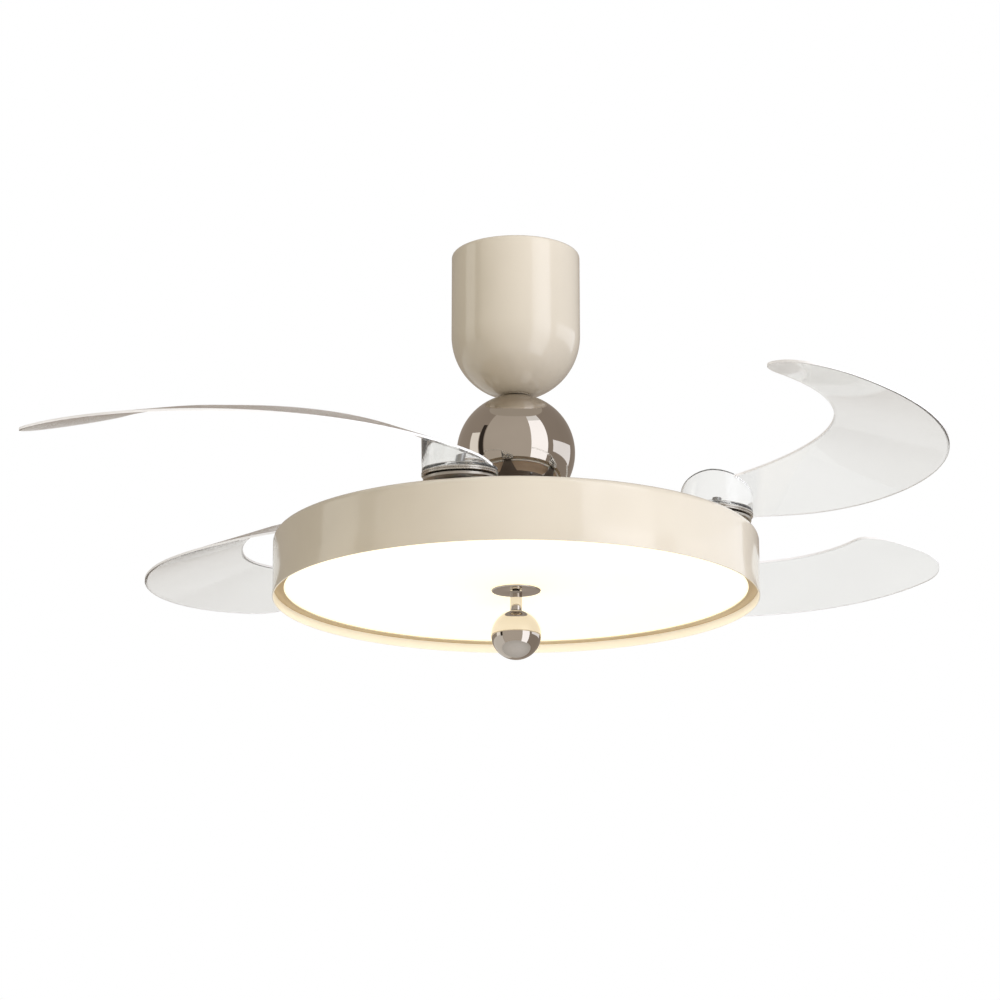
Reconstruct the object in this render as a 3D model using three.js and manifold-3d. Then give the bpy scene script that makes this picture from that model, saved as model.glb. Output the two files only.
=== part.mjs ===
// Ceiling fan with four folding blades and a round lamp.
// Millimetres, +Z up. The origin is the middle of the ceiling face, so all heights are negative.
import * as THREE from 'three';
import { mergeVertices } from 'three/addons/utils/BufferGeometryUtils.js';
import Module from 'manifold-3d';

const wasm = await Module();
wasm.setup();

// ---------------------------------------------------------------- driving dimensions
// Clearances
const seatGap = 0.3;          // between resting or fitted pieces
const runGap = 2;             // between turning and fixed pieces

// Canopy and ceiling bracket
const canopyRadius = 67.5;
const canopyDepth = 157.2;    // ceiling to the lowest point of the dome
const canopyWall = 1.5;
const canopyRimRadius = 4;    // rounded top edge
const canopyRimReach = 7;     // inward flange that hangs on the bracket
const canopyHoleRadius = 15.5;
const notchWidth = 28;        // gaps in the flange that let the bracket tabs pass
const bracketLength = 104;
const bracketWidth = 34;
const bracketThickness = 2.5;
const bracketDrop = 48;       // ceiling to the top of the saddle
const saddleHoleRadius = 14;
const tabWidth = 22;
const slotLength = 22;        // slots for the ceiling screws
const slotWidth = 5.5;
const slotOffset = 34;

// Down rod, hanger ball and coupler
const rodRadius = 10.5;
const rodWall = 2;
const hangerBallRadius = 19;
const crossPinRadius = 2.5;
const boltRadius = 3;
const boltHeadRadius = 5;
const boltHeadHeight = 4;
const couplerRadius = 17;
const couplerLength = 52;

// Ball cover
const ballRadius = 61.7;
const ballWall = 1.2;
const ballCentreDrop = 217.1; // ceiling to the ball's centre
const ballBottomHole = 18;

// Drum lamp
const drumRadius = 250;
const drumHeight = 64.5;
const drumDrop = 310;         // ceiling to the top of the drum
const drumWall = 1.5;
const drumEdgeRadius = 7;     // rounded top edge
const ledgeDepth = 9.5;       // rim to the ledge that carries the diffuser
const ledgeWidth = 10.3;
const ledgeThickness = 1.4;
const diffuserThickness = 3;
const trayThickness = 1.5;
const trayLift = 30;          // rim to the underside of the tray
const trayUpstand = 16;
const boardInset = 25;        // drum's outside to the edge of the LED board
const boardThickness = 1.6;
const ledSize = 5;
const ledHeight = 1.2;
const ledRings = [            // distance in from the board's edge, and number of LEDs
  { inset: 115, count: 4 },
  { inset: 35, count: 6 },
];
const driverLength = 118;
const driverWidth = 46;
const driverHeight = 20;
const driverOffset = 124;     // fan axis to the middle of the driver

// Finial under the diffuser
const finialPlateRadius = 25.6;
const finialPlateThickness = 1.6;
const finialBallRadius = 25.7;
const finialBallDrop = 36.4;  // drum rim to the ball's centre
const finialStemRadius = 6.2;
const finialThreadRadius = 3.8;

// Motor
const shaftRadius = 8.5;
const shaftBoreRadius = 5;
const shaftShoulderRadius = 14;
const nutRadius = 13;
const nutHeight = 6;
const motorTopLift = 24;      // drum top to the top of the motor
const coverEdgeRadius = 80;
const coverWall = 2.5;
const flangeRadius = 92;
const flangeThickness = 2;
const rotorRadius = 78;
const rotorDepth = 28;        // flange to the floor of the motor
const bearingRadius = 17.5;
const bearingHeight = 10;
const cupWall = 3.7;
const magnetThickness = 5;
const magnetHeight = 18;
const airGap = 1;
const slotCount = 12;
const coreBore = 26;
const coreHeight = 14;
const yokeWidth = 12;
const toothWidth = 9;
const shoeDepth = 6;
const shoeGap = 5;            // between neighbouring pole shoes
const coilRise = 3.5;         // end turns above the core

// Blade carrier and pivots
const bladeCount = 4;
const firstBladeAngle = -15.3; // degrees, counter-clockwise from +X
const pivotInset = 39.4;      // drum's outside to the pivots, before the teeth are counted
const pivotTilt = 3.5;        // degrees that the pivot axis leans outward
const pivotLift = 10.5;       // drum top to the underside of the pivot disc
const discRadius = 37.5;
const discThickness = 4;
const discGrooveDepth = 1.2;
const carrierThickness = 3;
const carrierGap = 1.6;       // pivot disc to the carrier plate
const padRadius = 36;
const armRootHalfWidth = 30;
const armTipHalfWidth = 21;
const pinRadius = 6;
const pinHeadRadius = 4.6;
const pinHeadHeight = 9;
const washerRadius = 10;
const washerThickness = 1.4;
const bushingRadius = 12;
const rotorScrewRadius = 2;
const rotorScrewHeadRadius = 3.6;
const rotorScrewHeadHeight = 2.4;

// Gears that keep the blades in step
const gearModule = 3;
const bladeGearTeeth = 16;    // on a whole circle; the gears are sectors
const gearSpareTeeth = 2;     // beyond each end of the meshing arc
const gearBackRadius = 17;    // plain back of a sector gear
const gearThickness = 5;
const backlash = 0.5;
const gearHubRadius = 8.5;
const gearHubLength = 9.5;
const syncHubWidth = 10;
const syncRimWidth = 9;
const spokeHalfWidth = 6;
const stopPostRadius = 3;
const stopPostCircle = 112;   // radius on which the stop posts stand

// Return springs
const springWire = 1.6;
const springRadius = 10.5;
const springPitch = 2.2;
const springTurns = 2.5;

// Blades, described folded: an annular sector round the fan axis
const foldAngle = 95;         // degrees from open to folded
const bladeReach = 34.4;      // pivot to the outer edge
const bladeWidth = 108;       // across the widest stretch
const bladeSweep = 148.5;     // degrees of arc from the pivot to the tail
const bladeThickness = 2.4;
const bladeRootRise = 38.5;   // high edge above the pivot disc's underside, at the root
const bladeTailRise = 16.5;   // further rise of the high edge at the tail
const bladeLowRise = 24;      // rise of the low edge towards the tail
const bladeRootDip = 1;       // low edge under the disc's underside, at the root
const bladeDiscRise = 8;      // local rise of the low edge that clears the disc
const bladeDiscSweep = 22;    // degrees over which that rise dies away
const tailLength = 15;        // degrees of arc that the round tail takes up
const tailInset = 50;         // outer edge to the tip of the tail
const neckWidth = 55;         // extra reach of the inner edge's curve at the neck
const neckSweep = 85;         // degrees over which the neck narrows
const neckEdgePower = 2.2;    // how quickly the inner edge leaves the boss
const neckRidgePower = 1.3;   // how quickly the high edge does
const bossRadius = 37;
const bossWall = 2.5;
const bossFloor = 3;

// ---------------------------------------------------------------- derived heights and radii
const boardRadius = drumRadius - boardInset;
const drumTop = -drumDrop;
const drumBottom = drumTop - drumHeight;
const motorTop = drumTop + motorTopLift;
const discBottom = drumTop + pivotLift;
const carrierTop = discBottom - carrierGap;
const carrierBottom = carrierTop - carrierThickness;
const rotorFlangeTop = carrierBottom - seatGap;
const rotorFlangeBottom = rotorFlangeTop - flangeThickness;
const syncTop = rotorFlangeBottom - seatGap;
const syncBottom = syncTop - gearThickness;
const rotorBottom = rotorFlangeBottom - rotorDepth;
const trayBottom = drumBottom + trayLift;
const trayTop = trayBottom + trayThickness;
const ballCentre = -ballCentreDrop;
const domeCentre = canopyRadius - canopyDepth;
const bladeGearPitch = gearModule * bladeGearTeeth / 2;
// The sync ring has a whole number of teeth in each quarter, which sets the pivots' radius.
const quarterTeeth = (drumRadius - pivotInset - bladeGearPitch) * 2 / gearModule / bladeCount;
const syncTeeth = bladeCount * Math.round(quarterTeeth);
const syncPitch = gearModule * syncTeeth / 2;
const tilt = THREE.MathUtils.degToRad(pivotTilt);
// The leaning gear meets the level sync ring at mid-height on the pitch circles.
const gearDepth = (discBottom - (syncTop + syncBottom) / 2 + bladeGearPitch * Math.sin(tilt))
  / Math.cos(tilt);
const pivotRadius = syncPitch + bladeGearPitch * Math.cos(tilt) + gearDepth * Math.sin(tilt);
const syncTravel = THREE.MathUtils.degToRad(foldAngle) * bladeGearTeeth / syncTeeth;
const bladeOuterRadius = pivotRadius + bladeReach;
const bladeInnerRadius = bladeOuterRadius - bladeWidth;

// ---------------------------------------------------------------- materials
function finish(colour, roughness, metalness) {
  return new THREE.MeshStandardMaterial({ color: colour, roughness, metalness });
}
const enamel = () => finish('#ded3be', 0.25, 0.0);
const chrome = () => finish('#a79c92', 0.12, 1.0);
const clearPlastic = () => finish('#eceae6', 0.2, 0.0);
const zincSteel = () => finish('#9b9c9d', 0.4, 1.0);
const darkMetal = () => finish('#5b544d', 0.45, 0.8);
const castMetal = () => finish('#87827c', 0.5, 0.9);
const nylon = () => finish('#e9e6df', 0.55, 0.0);
const whitePlastic = () => finish('#f3f1ec', 0.5, 0.0);
const opal = () => finish('#fffaf0', 0.6, 0.0);
const copper = () => finish('#b0663a', 0.35, 1.0);

// ---------------------------------------------------------------- solids
function toSolid(geometry) {
  const bare = geometry.clone();
  for (const name of Object.keys(bare.attributes)) {
    if (name !== 'position') bare.deleteAttribute(name);
  }
  const merged = mergeVertices(bare, 1e-4);
  const index = merged.index.array;
  const place = merged.attributes.position;
  const triangles = [];
  let volume = 0;
  const a = new THREE.Vector3();
  const b = new THREE.Vector3();
  const c = new THREE.Vector3();
  for (let i = 0; i < index.length; i += 3) {
    const [p, q, r] = [index[i], index[i + 1], index[i + 2]];
    if (p === q || q === r || r === p) continue;
    triangles.push(p, q, r);
    a.fromBufferAttribute(place, p);
    b.fromBufferAttribute(place, q);
    c.fromBufferAttribute(place, r);
    volume += a.dot(b.cross(c));
  }
  if (volume < 0) triangles.reverse();
  return new wasm.Manifold(new wasm.Mesh({
    numProp: 3,
    vertProperties: new Float32Array(place.array),
    triVerts: new Uint32Array(triangles),
  }));
}

function toGeometry(solid) {
  const { vertProperties, triVerts, numProp } = solid.getMesh();
  const places = new Float32Array(vertProperties.length / numProp * 3);
  for (let i = 0; i < places.length / 3; i++) {
    for (let k = 0; k < 3; k++) places[3 * i + k] = vertProperties[numProp * i + k];
  }
  const geometry = new THREE.BufferGeometry();
  geometry.setAttribute('position', new THREE.BufferAttribute(places, 3));
  geometry.setIndex(Array.from(triVerts));
  geometry.computeVertexNormals();
  return geometry;
}

const fan = new THREE.Group();

function piece(name, solid, material, parent = fan) {
  const mesh = new THREE.Mesh(toGeometry(solid), material);
  mesh.name = name;
  parent.add(mesh);
  return mesh;
}

// A profile of [radius, height] corners turned round the Z axis; off the axis it closes on itself.
function turned(profile, segments = 24) {
  const points = profile.map(([r, z]) => new THREE.Vector2(r, z));
  const last = points[points.length - 1];
  if (points[0].x > 0 || last.x > 0) points.push(points[0].clone());
  const geometry = new THREE.LatheGeometry(points, segments);
  geometry.rotateX(Math.PI / 2);
  return toSolid(geometry);
}

// Corners along an arc, angles in degrees from the outward direction, upward positive.
function arc(r, z, radius, from, to, steps) {
  const corners = [];
  for (let i = 0; i <= steps; i++) {
    const angle = THREE.MathUtils.degToRad(from + (to - from) * i / steps);
    corners.push([r + radius * Math.cos(angle), z + radius * Math.sin(angle)]);
  }
  return corners;
}

function plate(shape, bottom, top, curveSegments = 12) {
  const geometry = new THREE.ExtrudeGeometry(shape, {
    depth: top - bottom, bevelEnabled: false, curveSegments,
  });
  geometry.translate(0, 0, bottom);
  return toSolid(geometry);
}

function box(x0, x1, y0, y1, z0, z1) {
  const geometry = new THREE.BoxGeometry(x1 - x0, y1 - y0, z1 - z0);
  geometry.translate((x0 + x1) / 2, (y0 + y1) / 2, (z0 + z1) / 2);
  return toSolid(geometry);
}

// An upright cylinder at x, y, or one that lies along Y when lying is true.
function rod(x, y, bottom, top, radius, segments = 16) {
  const geometry = new THREE.CylinderGeometry(radius, radius, top - bottom, segments);
  geometry.rotateX(Math.PI / 2);
  geometry.translate(x, y, (bottom + top) / 2);
  return toSolid(geometry);
}

function lyingRod(z, from, to, radius, segments = 12) {
  const geometry = new THREE.CylinderGeometry(radius, radius, to - from, segments);
  geometry.translate(0, (from + to) / 2, z);
  return toSolid(geometry);
}

// Corner radius of a polygonal hole whose flats lie at the radius.
function roundHole(radius, segments) {
  return radius / Math.cos(Math.PI / segments);
}

function spin(solid, degrees) {
  return solid.rotate([0, 0, degrees]);
}

function tube(inner, outer, bottom, top, segments = 24) {
  return turned([[inner, bottom], [outer, bottom], [outer, top], [inner, top]], segments);
}

// ---------------------------------------------------------------- ceiling bracket and hanger
const saddleTop = -bracketDrop;
const tabTop = -canopyWall - seatGap;
const canopySegments = 24;
const tabEnd = (canopyRadius - canopyRimRadius) / roundHole(1, canopySegments) - seatGap;

function ceilingBracket() {
  const halfLength = bracketLength / 2;
  const halfWidth = bracketWidth / 2;
  const halfTab = tabWidth / 2;
  let frame = box(-halfLength, halfLength, -halfWidth, halfWidth, -bracketThickness, 0);
  frame = frame.add(box(-halfLength, halfLength, -halfWidth, halfWidth,
    saddleTop - bracketThickness, saddleTop));
  for (const side of [-1, 1]) {
    const inside = side * (halfLength - bracketThickness);
    const outside = side * halfLength;
    frame = frame.add(box(Math.min(inside, outside), Math.max(inside, outside),
      -halfWidth, halfWidth, saddleTop - bracketThickness, 0));
    const tip = side * tabEnd;
    frame = frame.add(box(Math.min(inside, tip), Math.max(inside, tip),
      -halfTab, halfTab, tabTop - bracketThickness, tabTop));
    const slotEnd = (slotLength - slotWidth) / 2;
    const slot = new THREE.Shape();
    slot.moveTo(-slotEnd, -slotWidth / 2);
    slot.lineTo(slotEnd, -slotWidth / 2);
    slot.absarc(slotEnd, 0, slotWidth / 2, -Math.PI / 2, Math.PI / 2, false);
    slot.lineTo(-slotEnd, slotWidth / 2);
    slot.absarc(-slotEnd, 0, slotWidth / 2, Math.PI / 2, Math.PI * 1.5, false);
    frame = frame.subtract(plate(slot, -bracketThickness - 1, 1, 6)
      .translate([side * slotOffset, 0, 0]));
  }
  return frame.subtract(rod(0, 0, saddleTop - bracketThickness - 1, saddleTop + 1,
    saddleHoleRadius, 20));
}
piece('ceiling_bracket', ceilingBracket(), zincSteel());

// The ball sits in the saddle's hole, so its centre height follows from both radii.
const seatRise = Math.sqrt((hangerBallRadius + seatGap) ** 2 - saddleHoleRadius ** 2);
const hangerCentre = saddleTop + seatRise;
const hangerHalfHeight = hangerBallRadius * 0.74;

function hangerBall() {
  const flat = THREE.MathUtils.radToDeg(Math.asin(hangerHalfHeight / hangerBallRadius));
  const profile = [
    ...arc(0, hangerCentre, hangerBallRadius, -flat, flat, 5),
    [rodRadius + seatGap, hangerCentre + hangerHalfHeight],
    [rodRadius + seatGap, hangerCentre - hangerHalfHeight],
  ];
  return turned(profile, 20).subtract(
    lyingRod(hangerCentre, -hangerBallRadius, hangerBallRadius, crossPinRadius + seatGap));
}
piece('hanger_ball', hangerBall(), nylon());

const pinHalfLength = Math.sqrt(hangerBallRadius ** 2 - (crossPinRadius + seatGap) ** 2) - 1;
piece('hanger_pin', lyingRod(hangerCentre, -pinHalfLength, pinHalfLength, crossPinRadius),
  zincSteel());

// ---------------------------------------------------------------- canopy
function canopy() {
  const inner = canopyRadius - canopyWall;
  const holeAngle = THREE.MathUtils.radToDeg(Math.acos(canopyHoleRadius / canopyRadius));
  const innerHoleAngle = THREE.MathUtils.radToDeg(Math.acos(canopyHoleRadius / inner));
  const rimCentre = canopyRadius - canopyRimRadius;
  const innerRim = canopyRimRadius - canopyWall;
  const shell = turned([
    [canopyRadius - canopyRimReach, 0],
    [canopyRadius - canopyRimReach, -canopyWall],
    ...arc(rimCentre, -canopyRimRadius, innerRim, 90, 0, 2),
    ...arc(0, domeCentre, inner, 0, -innerHoleAngle, 4),
    ...arc(0, domeCentre, canopyRadius, -holeAngle, 0, 4),
    ...arc(rimCentre, -canopyRimRadius, canopyRimRadius, 0, 90, 3),
  ], canopySegments);
  const half = notchWidth / 2;
  const innerSquare = Math.sqrt(inner ** 2 - half ** 2) - innerRim;
  let notched = shell;
  for (const side of [-1, 1]) {
    const edge = side * (innerSquare - 1);
    notched = notched.subtract(box(-half, half, Math.min(0, edge), Math.max(0, edge),
      -canopyWall - 1, 1));
  }
  return notched;
}
piece('canopy', canopy(), enamel());

const grommetBottom = ballCentre + Math.sqrt(ballRadius ** 2 - rodRadius ** 2) + seatGap;
piece('canopy_grommet', turned([
  [rodRadius + seatGap, grommetBottom],
  [canopyHoleRadius - seatGap, grommetBottom],
  [canopyHoleRadius - seatGap, grommetBottom + 4.5],
  [canopyHoleRadius + 3, grommetBottom + 5.5],
  [canopyHoleRadius + 3, grommetBottom + 8],
  [rodRadius + seatGap, grommetBottom + 8],
], 20), nylon());

// ---------------------------------------------------------------- receiver and terminal block
const bayInside = bracketLength / 2 - bracketThickness;

function receiverBox() {
  const depth = 22;
  const halfLength = 27;
  const right = bayInside - 1;
  const left = hangerBallRadius + 3;
  const bottom = saddleTop + seatGap;
  let body = box(left, right, -halfLength, halfLength, bottom, bottom + depth);
  const lip = box(left - 0.8, right + 0.6, -halfLength - 0.8, halfLength + 0.8,
    bottom + depth * 0.45, bottom + depth * 0.55);
  body = body.add(lip);
  for (const y of [-12, 12]) {
    body = body.add(box(left + 6, right - 6, y - 2, y + 2, bottom + depth - 1, bottom + depth + 1.2));
  }
  return body;
}
piece('receiver_box', receiverBox(), whitePlastic());

function terminalBlock() {
  const ways = 3;
  const wayPitch = 9;
  const bottom = saddleTop + seatGap;
  const right = -hangerBallRadius - 6;
  const left = -bayInside + 2;
  const half = ways * wayPitch / 2;
  let block = box(left, right, -half, half, bottom, bottom + 8);
  for (let way = 0; way < ways; way++) {
    const y = (way - (ways - 1) / 2) * wayPitch;
    block = block.add(box(left + 3, right - 3, y - 3.2, y + 3.2, bottom + 7, bottom + 13));
    for (const x of [left + 6.5, right - 6.5]) {
      block = block.subtract(rod(x, y, bottom + 6, bottom + 14, 1.9, 6));
    }
  }
  return block;
}
piece('terminal_block', terminalBlock(), nylon());

// ---------------------------------------------------------------- down rod and coupler
const rodTop = hangerCentre + hangerHalfHeight + 6;
const couplerTop = ballCentre + 20;
const couplerBottom = couplerTop - couplerLength;
const rodEnd = couplerTop - couplerLength * 0.55;
const upperBoltHeight = couplerTop - couplerLength * 0.25;
const lowerBoltHeight = couplerBottom + couplerLength * 0.22;

piece('down_rod', tube(rodRadius - rodWall, rodRadius, rodEnd, rodTop, 16)
  .subtract(lyingRod(hangerCentre, -rodRadius - 2, rodRadius + 2, crossPinRadius + seatGap))
  .subtract(lyingRod(upperBoltHeight, -rodRadius - 2, rodRadius + 2, boltRadius + seatGap)),
zincSteel());

function rodCoupler() {
  const step = rodEnd - seatGap;
  const sleeve = turned([
    [shaftRadius + seatGap, couplerBottom],
    [couplerRadius - 1.5, couplerBottom],
    [couplerRadius, couplerBottom + 1.5],
    [couplerRadius, couplerTop - 3],
    [couplerRadius - 3, couplerTop],
    [rodRadius + seatGap, couplerTop],
    [rodRadius + seatGap, step],
    [shaftRadius + seatGap, step],
  ], 16);
  return sleeve
    .subtract(lyingRod(upperBoltHeight, -couplerRadius - 1, couplerRadius + 1, boltRadius + seatGap))
    .subtract(lyingRod(lowerBoltHeight, -couplerRadius - 1, couplerRadius + 1, boltRadius + seatGap));
}
piece('rod_coupler', rodCoupler(), castMetal());

function couplerBolt(height) {
  const end = couplerRadius + 6;
  return lyingRod(height, -couplerRadius - seatGap - boltHeadHeight, end, boltRadius)
    .add(lyingRod(height, -couplerRadius - seatGap - boltHeadHeight, -couplerRadius - seatGap,
      boltHeadRadius, 6))
    .add(lyingRod(height, couplerRadius + seatGap, couplerRadius + seatGap + boltHeadHeight,
      boltHeadRadius, 6));
}
piece('coupler_bolt_upper', couplerBolt(upperBoltHeight), zincSteel());
piece('coupler_bolt_lower', couplerBolt(lowerBoltHeight), zincSteel());

// ---------------------------------------------------------------- ball cover and its seat
function ballCover() {
  const inner = ballRadius - ballWall;
  const topHole = rodRadius + seatGap;
  const open = (radius, hole) => THREE.MathUtils.radToDeg(Math.acos(hole / radius));
  return turned([
    ...arc(0, ballCentre, ballRadius, -open(ballRadius, ballBottomHole), open(ballRadius, topHole), 6),
    ...arc(0, ballCentre, inner, open(inner, topHole), -open(inner, ballBottomHole), 6),
  ], 24);
}
piece('ball_cover', ballCover(), chrome());

// The seat's flange follows the underside of the ball, and its spigot enters the hole.
const seatFlangeRadius = 27;
const ballUnder = (r) => ballCentre - Math.sqrt(ballRadius ** 2 - r ** 2);
const seatBottom = motorTop + runGap;

function ballSeat() {
  const spigot = ballBottomHole - seatGap;
  const profile = [
    [shaftRadius + seatGap, seatBottom],
    [seatFlangeRadius - 4, seatBottom],
    [seatFlangeRadius, seatBottom + 4],
  ];
  const steps = 2;
  for (let i = 0; i <= steps; i++) {
    const r = seatFlangeRadius + (spigot - seatFlangeRadius) * i / steps;
    profile.push([r, ballUnder(r) - 2 * seatGap]);
  }
  profile.push([spigot, ballUnder(ballBottomHole) + 5]);
  profile.push([shaftRadius + seatGap, ballUnder(ballBottomHole) + 5]);
  return turned(profile, 16);
}
piece('ball_seat', ballSeat(), chrome());

// ---------------------------------------------------------------- fixed shaft and stator
const shaftTop = rodEnd - 2 * seatGap;
const shoulderTop = rotorBottom - runGap;
const shoulderBottom = trayTop + seatGap;
const shaftBottom = trayBottom - seatGap - nutHeight - 1;
const threadDepth = 9;

function motorShaft() {
  const thread = finialThreadRadius + seatGap;
  return turned([
    [thread, shaftBottom],
    [shaftRadius, shaftBottom],
    [shaftRadius, shoulderBottom],
    [shaftShoulderRadius, shoulderBottom],
    [shaftShoulderRadius, shoulderTop],
    [shaftRadius, shoulderTop],
    [shaftRadius, shaftTop],
    [shaftBoreRadius, shaftTop],
    [shaftBoreRadius, shaftBottom + threadDepth],
    [thread, shaftBottom + threadDepth],
  ], 16).subtract(lyingRod(lowerBoltHeight, -shaftRadius - 1, shaftRadius + 1, boltRadius + seatGap));
}
piece('motor_shaft', motorShaft(), zincSteel());

const coverLip = motorTop - 1.5 * coverWall;
const upperBearingTop = coverLip - seatGap;
const upperBearingBottom = upperBearingTop - bearingHeight;
const lowerBearingBottom = rotorBottom + coverWall + seatGap;
const lowerBearingTop = lowerBearingBottom + bearingHeight;
const coreMiddle = (upperBearingBottom + lowerBearingTop) / 2;
const coreTop = coreMiddle + coreHeight / 2;
const coreBottom = coreMiddle - coreHeight / 2;
const rotorInner = rotorRadius - coverWall;
const magnetOuter = rotorInner - seatGap;
const magnetInner = magnetOuter - magnetThickness;
const coreRadius = magnetInner - airGap;

function bearing(bottom) {
  const top = bottom + bearingHeight;
  const inner = shaftRadius + seatGap;
  const shield = 0.8;
  const land = 2.2;
  return turned([
    [inner, bottom], [inner + land, bottom + shield], [bearingRadius - land, bottom + shield],
    [bearingRadius, bottom], [bearingRadius, top], [bearingRadius - land, top - shield],
    [inner + land, top - shield], [inner, top],
  ], 16);
}
piece('upper_bearing', bearing(upperBearingBottom), zincSteel());
piece('lower_bearing', bearing(lowerBearingBottom), zincSteel());

const hubCollar = 12;
piece('stator_hub', turned([
  [shaftRadius + seatGap, lowerBearingTop + seatGap],
  [hubCollar, lowerBearingTop + seatGap],
  [hubCollar, coreBottom],
  [coreBore - seatGap, coreBottom],
  [coreBore - seatGap, coreTop],
  [hubCollar, coreTop],
  [hubCollar, upperBearingBottom - seatGap],
  [shaftRadius + seatGap, upperBearingBottom - seatGap],
], 20), castMetal());

// Twelve T-shaped teeth round a yoke; grow widens the iron for the winding's clearance.
function statorIron(grow) {
  const yoke = coreBore + yokeWidth + grow;
  const half = toothWidth / 2 + grow;
  const shoeInner = coreRadius - shoeDepth - grow;
  const pitch = 2 * Math.PI / slotCount;
  const shoeHalf = pitch / 2 - shoeGap / 2 / coreRadius + grow / coreRadius;
  const outline = [];
  const polar = (r, angle) => new THREE.Vector2(r * Math.cos(angle), r * Math.sin(angle));
  for (let tooth = 0; tooth < slotCount; tooth++) {
    const middle = tooth * pitch;
    outline.push(polar(yoke, middle - half / yoke));
    outline.push(polar(shoeInner, middle - half / shoeInner));
    outline.push(polar(shoeInner + 2.5, middle - shoeHalf));
    for (let i = -1; i <= 1; i++) outline.push(polar(coreRadius + grow, middle + shoeHalf * i));
    outline.push(polar(shoeInner + 2.5, middle + shoeHalf));
    outline.push(polar(shoeInner, middle + half / shoeInner));
    outline.push(polar(yoke, middle + half / yoke));
    outline.push(polar(yoke, middle + pitch / 2));
  }
  return outline;
}

function statorCore() {
  const shape = new THREE.Shape(statorIron(0));
  const bore = rod(0, 0, coreBottom - 1, coreTop + 1, roundHole(coreBore, 16));
  return plate(shape, coreBottom, coreTop).subtract(bore);
}
piece('stator_core', statorCore(), darkMetal());

function statorWinding() {
  const iron = plate(new THREE.Shape(statorIron(seatGap)), coreBottom - seatGap, coreTop + seatGap);
  const inner = coreBore + yokeWidth + 1.5;
  const outer = coreRadius - shoeDepth - 1;
  const top = coreTop + coilRise;
  const bottom = coreBottom - coilRise;
  return turned([
    [inner, bottom + 1.5], [inner + 1.5, bottom], [outer - 1.5, bottom], [outer, bottom + 1.5],
    [outer, top - 1.5], [outer - 1.5, top], [inner + 1.5, top], [inner, top - 1.5],
  ], 16).subtract(iron);
}
piece('stator_winding', statorWinding(), copper());

// ---------------------------------------------------------------- rotor
const rotorSegments = 20;
const cupInner = roundHole(bearingRadius + seatGap, rotorSegments);
const cupOuter = cupInner + cupWall;
const shaftHole = shaftRadius + 1.5;
const coverFlangeBottom = carrierTop + seatGap;
const coverFlangeTop = coverFlangeBottom + flangeThickness;

function rotorCover() {
  const shoulder = 18;
  const rise = motorTop - coverFlangeTop;
  const outerEdge = [];
  const innerEdge = [];
  const steps = 2;
  for (let i = 0; i <= steps; i++) {
    const angle = Math.PI / 2 * i / steps;
    outerEdge.push([coverEdgeRadius - shoulder + shoulder * Math.sin(angle),
      coverFlangeTop + rise * Math.cos(angle)]);
    innerEdge.unshift([coverEdgeRadius - shoulder + (shoulder - coverWall * 1.5) * Math.sin(angle),
      coverFlangeBottom + (rise + flangeThickness - coverWall) * Math.cos(angle)]);
  }
  const cover = turned([
    [shaftHole, coverLip],
    [shaftHole, motorTop],
    ...outerEdge,
    [flangeRadius, coverFlangeTop],
    [flangeRadius, coverFlangeBottom],
    ...innerEdge,
    [cupOuter, motorTop - coverWall],
    [cupOuter, upperBearingBottom + 1],
    [cupInner, upperBearingBottom + 1],
    [cupInner, coverLip],
  ], rotorSegments);
  return withScrewHoles(cover);
}

const screwCircle = (coverEdgeRadius + flangeRadius) / 2;
const screwAngles = Array.from({ length: bladeCount },
  (_, i) => firstBladeAngle + 45 - i * 360 / bladeCount);

function withScrewHoles(solid) {
  let drilled = solid;
  for (const angle of screwAngles) {
    drilled = drilled.subtract(spin(rod(screwCircle, 0, rotorFlangeBottom - 1, coverFlangeTop + 1,
      rotorScrewRadius + seatGap, 8), angle));
  }
  return drilled;
}
piece('rotor_cover', rotorCover(), darkMetal());

function rotorBase() {
  const floorTop = rotorBottom + coverWall;
  return withScrewHoles(turned([
    [rotorInner, rotorFlangeTop], [flangeRadius, rotorFlangeTop],
    [flangeRadius, rotorFlangeBottom], [rotorRadius, rotorFlangeBottom],
    [rotorRadius, rotorBottom + 3], [rotorRadius - 3, rotorBottom],
    [shaftHole, rotorBottom], [shaftHole, floorTop],
    [cupInner, floorTop], [cupInner, lowerBearingTop - 1],
    [cupOuter, lowerBearingTop - 1], [cupOuter, floorTop],
    [rotorInner - 1, floorTop], [rotorInner, floorTop + 1],
  ], rotorSegments));
}
piece('rotor_base', rotorBase(), castMetal());

piece('magnet_ring', tube(magnetInner, magnetOuter, coreMiddle - magnetHeight / 2,
  Math.min(coreMiddle + magnetHeight / 2, rotorFlangeTop - seatGap), rotorSegments), darkMetal());

screwAngles.forEach((angle, i) => {
  const screw = rod(screwCircle, 0, rotorFlangeBottom, coverFlangeTop + seatGap + 1,
    rotorScrewRadius, 8)
    .add(rod(screwCircle, 0, coverFlangeTop + seatGap,
      coverFlangeTop + seatGap + rotorScrewHeadHeight, rotorScrewHeadRadius, 10));
  piece(`rotor_screw_${i + 1}`, spin(screw, angle), zincSteel());
});

// ---------------------------------------------------------------- blade carrier
const bladeAngles = Array.from({ length: bladeCount },
  (_, i) => firstBladeAngle - i * 360 / bladeCount);

// Matrix of pivot axis i: its +Z is the leaning axis, its origin the disc's underside.
function pivotFrame(angle) {
  const turn = new THREE.Matrix4().makeRotationZ(THREE.MathUtils.degToRad(angle));
  const move = new THREE.Matrix4().makeTranslation(pivotRadius, 0, discBottom);
  const lean = new THREE.Matrix4().makeRotationY(tilt);
  return turn.multiply(move).multiply(lean);
}

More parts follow.
